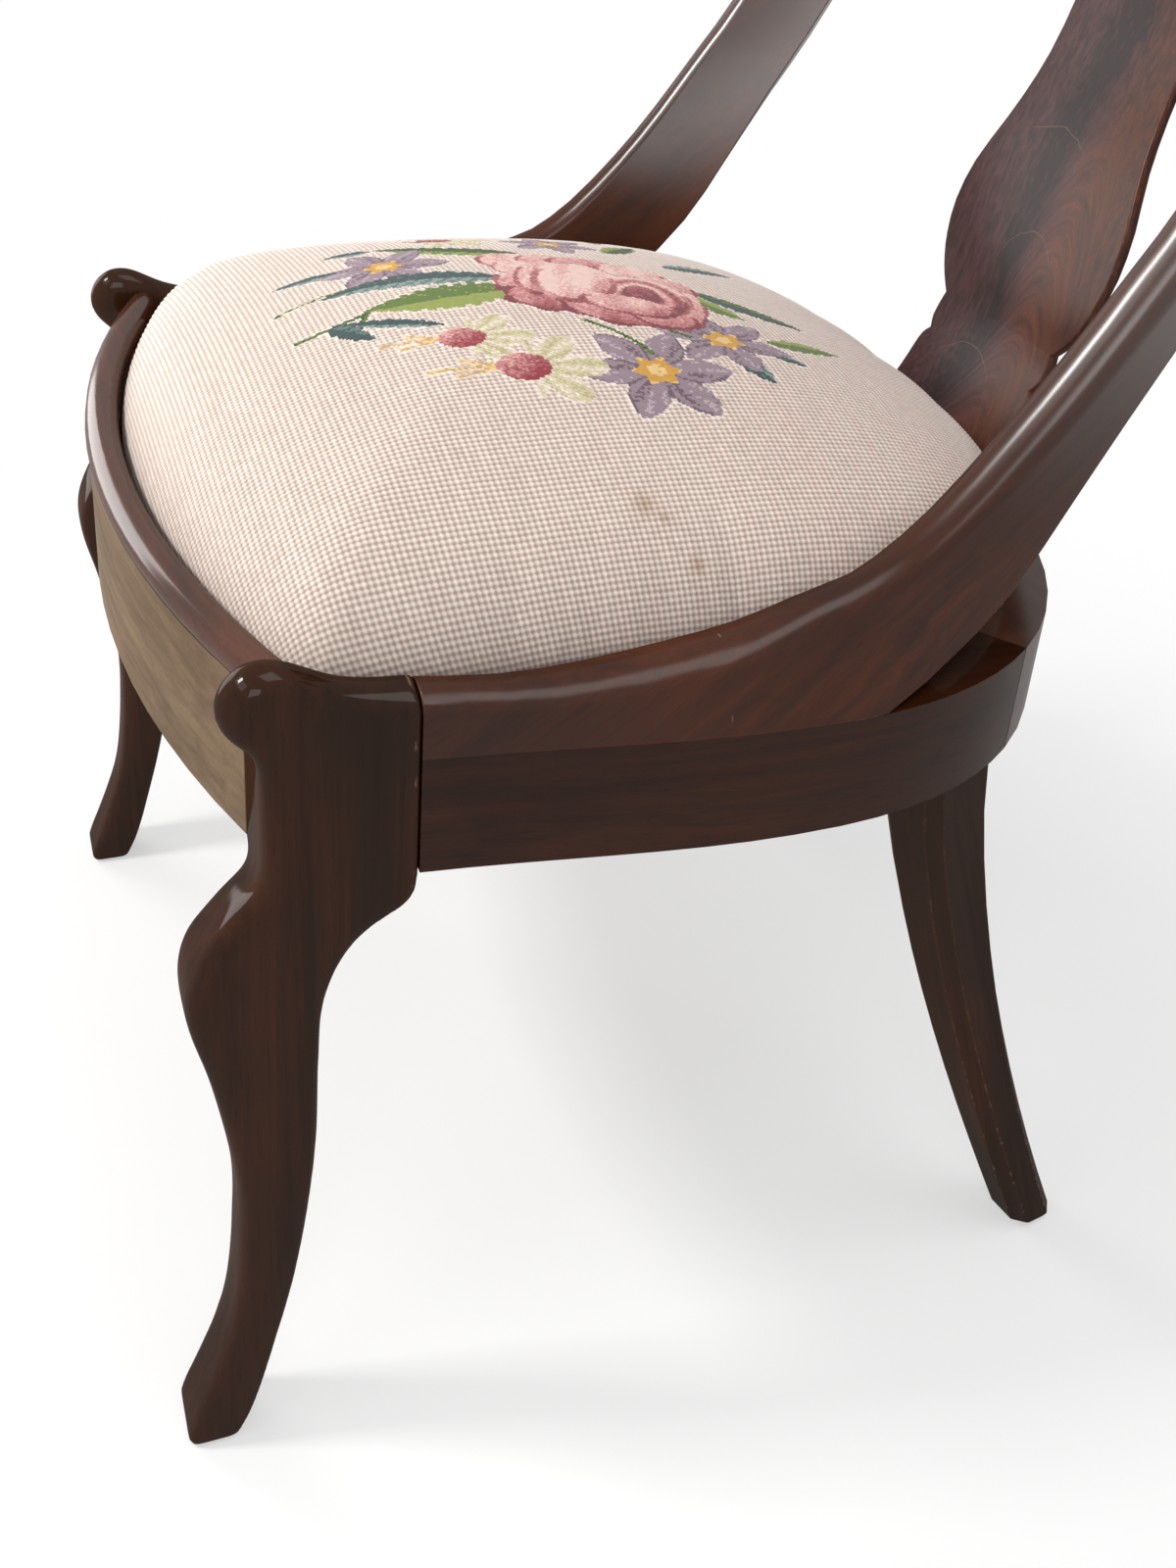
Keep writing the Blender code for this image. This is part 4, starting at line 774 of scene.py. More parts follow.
def bouquet() -> list[Motif]:
    """Traditional posy of a rose, star flowers, buds and leaves, from back to front.

    Returns:
        Motifs in the order in which they are worked.
    """
    return [
        Stem(-0.010, -0.115, -92.0, length=0.085, bend=-0.006, shades=(Yarn.GREEN_DEEP, Yarn.OLIVE)),
        Stem(0.004, -0.135, -72.0, length=0.066, bend=0.004),
        Stem(0.014, -0.162, -25.0, length=0.030),
        Leaf(-0.048, -0.072, -112.0, length=0.072, width=0.019, bend=0.004),
        Leaf(-0.070, -0.085, -128.0, length=0.045, width=0.010, shades=TEALS),
        Leaf(-0.074, -0.140, -100.0, length=0.024, width=0.010, shades=TEALS),
        StarFlower(-0.040, -0.142, 20.0, radius=0.034, stretch=0.9),
        Leaf(-0.046, -0.163, -98.0, length=0.032, width=0.009, shades=TEALS),
        Leaf(-0.004, -0.090, -96.0, length=0.090, width=0.020, bend=-0.004, shades=TEALS),
        Leaf(0.010, -0.090, -86.0, length=0.074, width=0.030, bend=0.003, shades=BRIGHT),
        Leaf(0.045, -0.135, -118.0, length=0.052, width=0.009, shades=TEALS),
        Leaf(0.022, -0.182, 35.0, length=0.028, width=0.011, shades=(Yarn.TEAL_DEEP, *TEALS[:2])),
        Leaf(0.010, -0.010, 44.0, length=0.038, width=0.017, shades=BRIGHT),
        Leaf(0.004, 0.000, 62.0, length=0.060, width=0.015, bend=-0.003,
             shades=(Yarn.TEAL_DEEP, *GREENS[:2])),
        Leaf(0.062, 0.016, 96.0, length=0.042, width=0.012, shades=BRIGHT),
        Leaf(0.080, -0.008, 25.0, length=0.026, width=0.013, shades=TEALS),
        Leaf(0.072, 0.010, 60.0, length=0.022, width=0.008, shades=TEALS),
        Leaf(-0.060, -0.020, 140.0, length=0.046, width=0.016),
        Leaf(-0.040, 0.004, 112.0, length=0.054, width=0.014, shades=TEALS),
        StarFlower(-0.078, -0.045, 8.0, radius=0.027),
        Bud(-0.094, -0.100, -150.0, size=0.020),
        Leaf(-0.098, -0.012, 158.0, length=0.034, width=0.011, shades=BRIGHT),
        StarFlower(0.066, -0.008, 12.0, radius=0.034, stretch=0.85),
        StarFlower(0.096, -0.053, 30.0, radius=0.037),
        Stem(0.050, -0.072, 34.0, length=0.040, bend=0.003),
        Stem(0.050, -0.045, 52.0, length=0.026),
        Bud(0.060, -0.128, -100.0, size=0.021),
        Bud(0.089, -0.108, -96.0, size=0.024),
        Rose(0.012, -0.045, 68.0),
    ]


def between(board: Rows, i: Rows, j: Rows, p: Rows, q: Rows) -> Rows:
    """Read a table of places between its rows, which close in a ring, and its columns.

    Args:
        board: Table with a place in every row and column.
        i: Row before each wanted place.
        j: Column before it.
        p: Share of the way to the next row.
        q: Share of the way to the next column.

    Returns:
        The wanted places.
    """
    after = (i + 1) % len(board)
    return ((board[i, j] * (1 - q) + board[i, j + 1] * q) * (1 - p)
            + (board[after, j] * (1 - q) + board[after, j + 1] * q) * p)


@dataclass
class NeedleworkSeat:
    """Drop-in seat: a crowned pad under wool needlework that is turned under the slip frame."""

    pitch: float = 0.0027
    edge_rise: float = 0.026
    edge_share: float = 0.80
    rear_fullness: float = 0.10
    crown: float = 0.060
    flatness: float = 2.3
    centre_y: float = -0.0678
    relief: float = 0.00075
    relief_level: float = 0.6
    hem: float = 0.036
    hem_thickness: float = 0.002
    underside_z: float = 0.3662
    tilt: float = 0.055
    level_y: float = -0.080
    angles: int = 720
    step: float = 0.001
    longest_run: float = 0.42
    cloth_cell: float = 3.0
    held_from: float = 0.62
    held_over: float = 0.14
    settle_frames: int = 18
    swell_limit: float = 0.004
    blush: Triple = (0.0, 0.055, 0.045)
    stains: tuple[Triple, ...] = ((0.170, -0.086, 0.0048), (0.176, -0.079, 0.0028), (0.192, -0.070, 0.0026))
    stain_share: float = 0.50
    seed: int = 7
    bottom_z: float = field(init=False)
    side_top_z: float = field(init=False)
    outline: Rows = field(init=False)
    table: Rows = field(init=False)
    ends: Rows = field(init=False)

    def __post_init__(self) -> None:
        """Read the outline and the heights of the seat from its solid."""
        low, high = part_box("needlework_cover")
        self.bottom_z = low.z
        self.side_top_z = high.z - self.crown - self.edge_rise
        self.outline = self.read_outline()
        self.table, self.ends = self.profiles()

    def read_outline(self) -> Rows:
        """Reach of the seat's outline in plan.

        Returns:
            Distance from the middle of the seat to its edge at evenly spaced angles.
        """
        bm = bmesh.new()
        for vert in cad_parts["needlework_cover"].data.vertices:
            bm.verts.new((vert.co.x, vert.co.y - self.centre_y, 0.0))
        hull = bmesh.ops.convex_hull(bm, input=bm.verts)["geom"]
        rim = [v.co.copy() for v in hull if isinstance(v, bmesh.types.BMVert)]
        bm.free()
        angle, reach = np.array(sorted((math.atan2(p.y, p.x), p.length) for p in rim)).T
        found = np.linspace(-math.pi, math.pi, self.angles, endpoint=False)
        round_trip = np.concatenate([angle - FULL_TURN, angle, angle + FULL_TURN])
        return 1.0 / np.interp(found, round_trip, np.concatenate([1.0 / reach] * 3))

    def height(self, share: Rows, angle: float) -> Rows:
        """Height of the top, which is fuller at the rear.

        Args:
            share: Share of the way from the middle to the edge.
            angle: Direction of the way in plan.

        Returns:
            Heights above the floor.
        """
        start = self.edge_share + self.rear_fullness * max(math.sin(angle), 0.0) ** 0.5
        edge = np.clip((share - start) / (1.0 - start), 0.0, 1.0)
        top = self.edge_rise * np.sqrt(1.0 - edge * edge) + self.crown * (1.0 - share ** self.flatness)
        return self.side_top_z + top

    def profiles(self) -> tuple[Rows, Rows]:
        """Run of the cover from the middle of the seat over its edge, for every angle.

        Returns:
            Reach and height at even steps of length along the cover, and the length to its bottom edge.
        """
        share = np.concatenate([np.linspace(0.0, 0.8, 60, endpoint=False),
                                1.0 - 0.2 * np.linspace(1, 0, 60) ** 2])
        ease = share * share * (3.0 - 2.0 * share)
        round_reach = float(np.mean(self.outline))
        steps = int(self.longest_run / self.step)
        even = np.arange(steps) * self.step
        table = np.empty((self.angles, steps, 2))
        ends = np.empty(self.angles)
        for k, reach in enumerate(self.outline):
            radius = share * (ease * reach + (1.0 - ease) * round_reach)
            angle = FULL_TURN * k / self.angles - math.pi
            lean = self.tilt * (self.level_y - self.centre_y - radius * math.sin(angle))
            lean = lean * (1.0 - share * share)
            out = np.append(radius, reach)
            up = np.append(self.height(share, angle) + lean, self.bottom_z)
            length = np.concatenate([[0.0], np.cumsum(np.hypot(np.diff(out), np.diff(up)))])
            table[k, :, 0] = np.interp(even, length, out)
            table[k, :, 1] = np.interp(even, length, up)
            ends[k] = length[-1]
        return table, ends

    def along(self, angle: Rows, values: Rows) -> Rows:
        """Read values round the seat between the even angles.

        Args:
            angle: Wanted directions in plan.
            values: Values at the even angles.

        Returns:
            Value at each wanted angle.
        """
        place = (angle + math.pi) / FULL_TURN * self.angles
        low = np.floor(place).astype(int)
        part = place - low
        return values[low % self.angles] * (1.0 - part) + values[(low + 1) % self.angles] * part

    def polar(self, flat: Rows) -> tuple[Rows, Rows, Rows]:
        """Angle of places on the flat cloth, distance from its middle, and length of the cover there."""
        angle = np.arctan2(flat[:, 1], flat[:, 0])
        return angle, np.hypot(flat[:, 0], flat[:, 1]), self.along(angle, self.ends)

    def lay(self, flat: Rows) -> Rows:
        """Lay flat cloth over the seat.

        Args:
            flat: Places on the flat cloth, from its middle.

        Returns:
            Places on the seat.
        """
        angle, distance, limit = self.polar(flat)
        turn, run = (angle + math.pi) / FULL_TURN * self.angles, np.minimum(distance, limit) / self.step
        i = np.floor(turn).astype(int)
        j = np.minimum(np.floor(run).astype(int), self.table.shape[1] - 2)
        reach, z = between(self.table, i % self.angles, j, (turn - i)[:, None], (run - j)[:, None]).T
        return np.column_stack([reach * np.cos(angle), reach * np.sin(angle) + self.centre_y, z])

    def grid(self, step: float) -> tuple[Rows, Rows, Rows, Rows]:
        """Even grid over the flat cloth, cut to the seat.

        Args:
            step: Width of a cell.

        Returns:
            Places on the flat cloth, the four corners of each cell, and the column and row of each place.
        """
        count = 2 * (int(self.ends.max() / step) + 2)
        even = (np.arange(count + 1) - count // 2) * step
        u, v = np.meshgrid(even, even, indexing="ij")
        flat = np.column_stack([u.ravel(), v.ravel()])
        _, distance, limit = self.polar(flat)
        inside = distance < limit - 0.25 * step
        index = np.arange(len(flat)).reshape(count + 1, count + 1)
        corners = (index[:-1, :-1], index[1:, :-1], index[1:, 1:], index[:-1, 1:])
        cells = np.stack(corners, -1).reshape(-1, 4)
        cells = cells[inside[cells].sum(1) >= 2]
        used = np.unique(cells)
        renumber = np.full(len(flat), -1)
        renumber[used] = np.arange(len(used))
        column, row = np.divmod(used, count + 1)
        return flat[used], renumber[cells], column - count // 2, row - count // 2

    def settled(self, rest: Rows, cells: Rows, held: Rows) -> Rows:
        """How far stuffing and tension move a cloth, worked out by simulation.

        Args:
            rest: Places of the cloth as it is laid.
            cells: Corners of each cell.
            held: How firmly each place is held, from 0 to 1.

        Returns:
            Move of each place, up to the limit of the swell.
        """
        mesh = bpy.data.meshes.new("cover_cloth")
        mesh.from_pydata(rest.tolist(), [], cells.tolist())
        helper = stand("cover_cloth", mesh)
        group = helper.vertex_groups.new(name="held")
        for number, weight in enumerate(held):
            group.add([number], float(weight), "REPLACE")
        cloth = helper.modifiers.new("tension", "CLOTH")
        tune(cloth.settings, quality=6, mass=0.25, tension_stiffness=12.0, compression_stiffness=12.0,
             shear_stiffness=4.0, bending_stiffness=0.6, use_pressure=True, uniform_pressure_force=2.5,
             vertex_group_mass="held")
        cloth.settings.effector_weights.gravity = 0.0
        cloth.collision_settings.use_collision = False
        scene = bpy.context.scene
        for number in range(1, self.settle_frames + 1):
            scene.frame_set(number)
        ready = helper.evaluated_get(bpy.context.evaluated_depsgraph_get())
        moved = np.array([v.co for v in ready.data.vertices]) - rest
        scene.frame_set(1)
        bpy.data.objects.remove(helper, do_unlink=True)
        far = np.linalg.norm(moved, axis=1, keepdims=True)
        return moved * np.minimum(1.0, self.swell_limit / np.maximum(far, 1e-9))

    def relaxed(self, flat: Rows) -> Rows:
        """How far the cover moves as it settles, taken from a coarser grid.

        Args:
            flat: Places on the flat cloth.

        Returns:
            Move of each place.
        """
        step = self.cloth_cell * self.pitch
        coarse, cells, column, row = self.grid(step)
        _, distance, limit = self.polar(coarse)
        held = np.clip((distance / limit - self.held_from) / self.held_over, 0.0, 1.0)
        size = int(max(np.abs(column).max(), np.abs(row).max()))
        board = np.zeros((2 * size + 2, 2 * size + 2, 3))
        board[column + size, row + size] = self.settled(self.lay(coarse), cells, held)
        place = flat / step + size
        low = np.clip(np.floor(place).astype(int), 0, 2 * size)
        part = np.clip(place - low, 0.0, 1.0)
        return between(board, low[:, 0], low[:, 1], part[:, :1], part[:, 1:])

    def build(self) -> Object:
        """Make the seat.

        Returns:
            Closed pad with its stitches, hem and colours.
        """
        flat, cells, column, row = self.grid(0.5 * self.pitch)
        places = self.lay(flat) + self.relaxed(flat)
        draw = np.random.default_rng(self.seed)
        plan = places[cells].mean(1)[:, :2]
        stitch_column = np.floor_divide(column[cells].min(1), 2)
        stitch_row = np.floor_divide(row[cells].min(1), 2)
        span = int(max(np.abs(stitch_column).max(), np.abs(stitch_row).max())) + 1
        tone = draw.random((2 * span + 1, 2 * span + 1))[stitch_column + span, stitch_row + span]
        strand = draw.random(2 * span + 1)[stitch_row + span]
        colours = np.array(Yarn.GROUND.value) * (0.93 + 0.10 * tone + 0.05 * strand)[:, None]
        blush = (strand > 0.66) * np.clip((plan[:, 1] + 0.16) / 0.20, 0.0, 1.0)
        colours *= 1.0 - blush[:, None] * np.array(self.blush)
        for x, y, size in self.stains:
            away = (plan[:, 0] - x) ** 2 + (plan[:, 1] - y) ** 2
            spot = np.exp(-away / size ** 2)[:, None] * self.stain_share
            colours = colours * (1.0 - spot) + np.array(Yarn.STAIN.value) * spot
        grain = draw.random(len(cells))
        worked = np.zeros(len(cells), bool)
        for motif in bouquet():
            worked |= motif.stitch(plan, grain, colours)
        fine = np.zeros(len(places))
        np.maximum.at(fine, cells.ravel(), np.repeat(worked, 4).astype(float))
        nap = self.nap(column, row, fine, draw)
        raised = self.normals(places, cells) * ((nap - self.relief_level) * self.relief)[:, None]
        return self.solid(places + raised, cells, colours, nap)

    @staticmethod
    def nap(column: Rows, row: Rows, fine: Rows, draw: np.random.Generator) -> Rows:
        """Height of the stitches: a crest of wool in each cell, and a hole at each corner.

        Args:
            column: Half-stitch column of each place.
            row: Half-stitch row of each place.
            fine: 1 where the stitches are worked small.
            draw: Source of random values.

        Returns:
            Height from 0 in a hole to 1 on the crest of a stitch.
        """
        odd_column, odd_row = column % 2, row % 2
        nap = np.where(odd_column & odd_row, 1.0, np.where(odd_column | odd_row, 0.45, 0.0))
        nap = nap + 0.14 * (draw.random(len(nap)) - 0.5)
        small = 0.55 + 0.25 * ((column + row) % 2) + 0.2 * (draw.random(len(nap)) - 0.5)
        return np.clip(nap * (1.0 - fine) + small * fine, 0.0, 1.0)

    @staticmethod
    def normals(places: Rows, cells: Rows) -> Rows:
        """Outward directions of a cloth.

        Args:
            places: Places of the cloth.
            cells: Four corners of each cell.

        Returns:
            Direction at every place.
        """
        a, b, c, d = (places[corner] for corner in cells.T)
        across = np.cross(c - a, d - b)
        total = np.zeros_like(places)
        for corner in cells.T:
            np.add.at(total, corner, across)
        return total / np.maximum(np.linalg.norm(total, axis=1, keepdims=True), 1e-12)

    def solid(self, places: Rows, cells: Rows, colours: Rows, nap: Rows) -> Object:
        """Close the stitched top with its turned-under hem and the underside of the stuffing.

        Args:
            places: Places on the seat.
            cells: Corners of each cell.
            colours: Colour of each cell.
            nap: Height of the stitches at each place.

        Returns:
            The finished object.
        """
        mesh = bpy.data.meshes.new("needlework_seat")
        mesh.from_pydata(places.tolist(), [], cells.tolist())
        mesh.attributes.new("yarn", "FLOAT_COLOR", "FACE").data.foreach_set(
            "color", np.column_stack([colours, np.ones(len(colours))]).astype(np.float32).ravel())
        mesh.attributes.new("nap", "FLOAT", "POINT").data.foreach_set("value", nap.astype(np.float32))
        bm = bmesh.new()
        bm.from_mesh(mesh)
        yarn = bm.faces.layers.float_color["yarn"]
        ground = (*Yarn.GROUND.value, 1.0)
        inner, inner_z = self.hem_thickness, self.bottom_z + self.hem_thickness
        edges = [e for e in bm.edges if e.is_boundary]
        for inset, z in ((self.hem, self.bottom_z), (self.hem, inner_z), (inner, inner_z),
                         (inner, self.underside_z)):
            made = bmesh.ops.extrude_edge_only(bm, edges=edges)["geom"]
            for vert in (g for g in made if isinstance(g, bmesh.types.BMVert)):
                angle = math.atan2(vert.co.y - self.centre_y, vert.co.x)
                reach = float(self.along(np.array([angle]), self.outline)[0]) - inset
                vert.co = (reach * math.cos(angle), reach * math.sin(angle) + self.centre_y, z)
            for face in (g for g in made if isinstance(g, bmesh.types.BMFace)):
                face[yarn] = ground
            edges = [g for g in made if isinstance(g, bmesh.types.BMEdge) and g.is_boundary]
        middle = bm.verts.new((0.0, self.centre_y, self.underside_z))
        for edge in edges:
            bm.faces.new((*edge.verts, middle))[yarn] = ground
        bmesh.ops.recalc_face_normals(bm, faces=bm.faces)
        bm.to_mesh(mesh)
        bm.free()
        mesh.shade_smooth()
        return stand("needlework_seat", mesh)

    def dress(self) -> list[Object]:
        """Build the seat, cover it and set it in the frame.

        Returns:
            The finished seat.
        """
        seat = self.build()
        seat.data.materials.append(WoolStitches().material())
        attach(seat, SEAT_BODY)
        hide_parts("needlework_cover", "stuffing")
        return [seat]


@dataclass
class ShowWood:
    """Polished frame of the chair, with eased arrises on the shapes of the solids."""

    arris: float = 0.0006
    skin_step: float = 0.0014
    rubs: int = 90
    held_near: tuple[float, float] = (0.0015, 0.0110)
    toe_z: float = 0.060
    bracket_y: float = 0.030
    crisp_share: float = 0.20
    tight: float = 0.0007
    closing: float = 0.00011
    sharp_angle: float = math.radians(38.0)
    flat_angle: float = math.radians(0.4)
    edge_glow: float = 1.3
    dark: Triple = (0.0172, 0.0070, 0.0034)
    light: Triple = (0.0335, 0.0124, 0.0052)
    red: Triple = (0.0490, 0.0158, 0.0060)
    trees: dict[str, BVHTree] = field(default_factory=dict)

    def polish(self, name: str, grain: Grain, **more: object) -> tuple[Material, Material]:
        """Finish of the faces and of the rubbed arrises.

        Args:
            name: Name of the finish.
            grain: Way of the grain.
            more: Other values of the polish.

        Returns:
            Material of the faces and of the arrises.
        """
        values = {"dark": self.dark, "light": self.light, "red": self.red, **more}
        rubbed = {key: tuple(self.edge_glow * c for c in values[key]) for key in ("dark", "light", "red")}
        bare = {**values, **rubbed, "worn": True, "joint_y": None, "crack_y": None}
        return (Polish(name, grain=grain, **values).material(),
                Polish(name + "_arris", grain=grain, **bare).material())

    def neighbours(self, node: str) -> list[BVHTree]:
        """Surfaces of all the other show wood."""
        return [tree for name, tree in self.trees.items() if name != node]

    def weigh(self, mesh: Mesh, node: str) -> None:
        """Mark which edges are eased: the sharp ones that no other piece of wood meets.

        Args:
            mesh: Mesh of the piece.
            node: Name of the solid that it stands for.
        """
        others = self.neighbours(node)
        weights = mesh.attributes.new("bevel_weight_edge", "FLOAT", "EDGE").data
        sharp = mesh.attributes["sharp_edge"].data
        for edge in mesh.edges:
            if not sharp[edge.index].value:
                continue
            ends = [mesh.vertices[v].co for v in edge.vertices]
            places = [ends[0].lerp(ends[1], t) for t in (0.15, 0.5, 0.85)]
            met = all(any(tree.find_nearest(p, self.tight)[0] is not None for tree in others) for p in places)
            weights[edge.index].value = 0.0 if met else 1.0

    def soften(self, mesh: Mesh, node: str) -> Mesh:
        """Round the arrises of a leg as long use does, but not where other wood meets it.

        Args:
            mesh: Mesh of the leg with sharp arrises.
            node: Name of the solid that it stands for.

        Returns:
            Mesh with worn, round arrises.
        """
        block = stand(node + "_block", mesh)
        tune(block.modifiers.new("skin", "REMESH"), mode="VOXEL", voxel_size=self.skin_step)
        worn = bpy.data.meshes.new_from_object(block.evaluated_get(bpy.context.evaluated_depsgraph_get()))
        bpy.data.objects.remove(block)
        points = np.array([vert.co for vert in worn.vertices])
        ends = np.array([edge.vertices[:] for edge in worn.edges])
        near, far = self.held_near
        others = self.neighbours(node)
        away = np.array([min((tree.find_nearest(p, far)[3] or far for tree in others)) for p in points])
        free = 0.5 * np.clip((away - near) / (far - near), 0.0, 1.0)[:, None]
        free *= np.clip(points[:, 2:] / self.toe_z, self.crisp_share, 1.0)
        free *= np.clip((points[:, 1:2].max() - points[:, 1:2]) / self.bracket_y, self.crisp_share, 1.0)
        count = np.bincount(ends.ravel(), minlength=len(points))[:, None]
        for _ in range(self.rubs):
            total = np.zeros_like(points)
            np.add.at(total, ends[:, 0], points[ends[:, 1]])
            np.add.at(total, ends[:, 1], points[ends[:, 0]])
            points += free * (total / count - points)
        worn.vertices.foreach_set("co", points.ravel())
        worn.update()
        return worn

    def closed(self, node: str) -> Mesh:
        """Copy of a solid's surface, grown by the thickness of the polish so that its joints close.

        Args:
            node: Name of the solid.

        Returns:
            The grown surface.
        """
        bm = bmesh.new()
        bm.from_mesh(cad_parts[node].data)
        bmesh.ops.remove_doubles(bm, verts=bm.verts, dist=0.00002)
        bmesh.ops.dissolve_limit(bm, angle_limit=self.flat_angle, verts=bm.verts, edges=bm.edges)
        bm.normal_update()
        for vert in bm.verts:
            vert.co += vert.normal * min(vert.calc_shell_factor(), 2.0) * self.closing
        mesh = bpy.data.meshes.new(node + "_polished")
        bm.to_mesh(mesh)
        bm.free()
        for name in ("custom_normal", "sharp_face", "sharp_edge"):
            if name in mesh.attributes:
                mesh.attributes.remove(mesh.attributes[name])
        return mesh

    def ease(self, node: str, finishes: tuple[Material, Material]) -> Object:
        """Copy of a solid with eased, rubbed arrises.

        Args:
            node: Name of the solid.
            finishes: Materials of its faces and arrises.

        Returns:
            The piece that stands for the solid.
        """
        mesh = self.closed(node)
        round_leg = node.startswith("front_leg")
        if round_leg:
            mesh = self.soften(mesh, node)
            mesh.name = node + "_polished"
        for finish in finishes:
            mesh.materials.append(finish)
        for face in mesh.polygons:
            face.material_index = 0
        mesh.shade_smooth()
        piece = stand(node + "_polished", mesh)
        if not round_leg:
            mesh.set_sharp_from_angle(angle=self.sharp_angle)
            self.weigh(mesh, node)
            tune(piece.modifiers.new("arris", "BEVEL"), width=self.arris, segments=3, limit_method="WEIGHT",
                 material=1)
            tune(piece.modifiers.new("flats", "WEIGHTED_NORMAL"), keep_sharp=True, weight=80)
        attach(piece, FRAME_BODY)
        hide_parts(node)
        return piece

    def dress(self) -> list[Object]:
        """Polish every piece of show wood.

        Returns:
            The finished pieces.
        """
        leg = self.polish("polished_leg", Grain.UPRIGHT, joint_y=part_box("front_leg_left")[1].y - 0.0020)
        rail = self.polish("polished_side_rail", Grain.LENGTHWISE, coat=0.32, film_ior=1.5,
                           dark=(0.018, 0.0060, 0.0030), light=(0.037, 0.0112, 0.0045),
                           red=(0.056, 0.0152, 0.0053))
        front = self.polish("polished_front_rail", Grain.CROSSWISE, dark=(0.120, 0.078, 0.046),
                            light=(0.215, 0.148, 0.090), red=(0.225, 0.150, 0.090))
        cross = self.polish("polished_cross_rail", Grain.CROSSWISE, haze=0.15, coat=0.32,
                            dark=(0.036, 0.0130, 0.0072), light=(0.076, 0.0250, 0.0120),
                            red=(0.115, 0.0350, 0.0150))
        stile = self.polish("polished_stile", Grain.SWEPT, crack_y=-0.075, haze=0.25, coat=0.62,
                            rubbed_z=(0.41, 0.56), dark=(0.027, 0.0072, 0.0026),
                            light=(0.056, 0.0138, 0.0042), red=(0.086, 0.0200, 0.0054))
        rear = self.polish("polished_rear_leg", Grain.RAKED)
        veneer = self.polish("crotch_veneer", Grain.UPRIGHT, crotch=True, foot_z=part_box("splat")[0].z + 0.020,
                             haze=0.26, dark=(0.0190, 0.0098, 0.0098), light=(0.104, 0.0410, 0.0400),
                             red=(0.130, 0.0390, 0.0165))
        wood = {"front_leg_left": leg, "front_leg_right": leg, "side_rail_left": rail,
                "side_rail_right": rail, "front_rail": front, "front_rail_moulding": cross,
                "rear_rail": cross, "crest_rail": cross, "stile_left": stile, "stile_right": stile,
                "rear_leg_left": rear, "rear_leg_right": rear, "splat": veneer}
        for node in wood:
            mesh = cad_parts[node].data
            self.trees[node] = BVHTree.FromPolygons([v.co for v in mesh.vertices],
                                                    [tuple(p.vertices) for p in mesh.polygons])
        pieces = []
        for node, finishes in wood.items():
            piece = self.ease(node, finishes)
            "figured_veneer" if node == "splat" else "mahogany"
            pieces.append(piece)
        return pieces


@dataclass
class InnerWork:
    """Blocks, screws, dowels and slip frame, which show from below."""

    pine: Triple = (0.40, 0.255, 0.130)
    brown_pine: Triple = (0.20, 0.115, 0.055)
    block_pine: Triple = (0.30, 0.185, 0.090)
    brown_block: Triple = (0.125, 0.070, 0.034)
    beech: Triple = (0.38, 0.25, 0.14)
    brown_beech: Triple = (0.24, 0.15, 0.08)

    def dress(self) -> list[Object]:
        """Give the inner pieces their finishes.

        Returns:
            The dressed solids.
        """
        block = BareWood("block_pine", self.block_pine, self.brown_block, Grain.LENGTHWISE).material()
        board = BareWood("slip_pine", self.pine, self.brown_pine, Grain.CROSSWISE).material()
        side = BareWood("slip_pine_side", self.pine, self.brown_pine, Grain.LENGTHWISE).material()
        dowel = BareWood("dowel_beech", self.beech, self.brown_beech, Grain.UPRIGHT).material()
        finishes = {"dowel": dowel, "screw": DullSteel().material(), "corner_block": block,
                    "slip_board_left": side, "slip_board_right": side, "slip_board": board}
        dressed = []
        for name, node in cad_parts.items():
            finish = next((finish for word, finish in finishes.items() if word in name), None)
            if finish is not None:
                node.data.materials.clear()
                node.data.materials.append(finish)
                dressed.append(node)
        return dressed


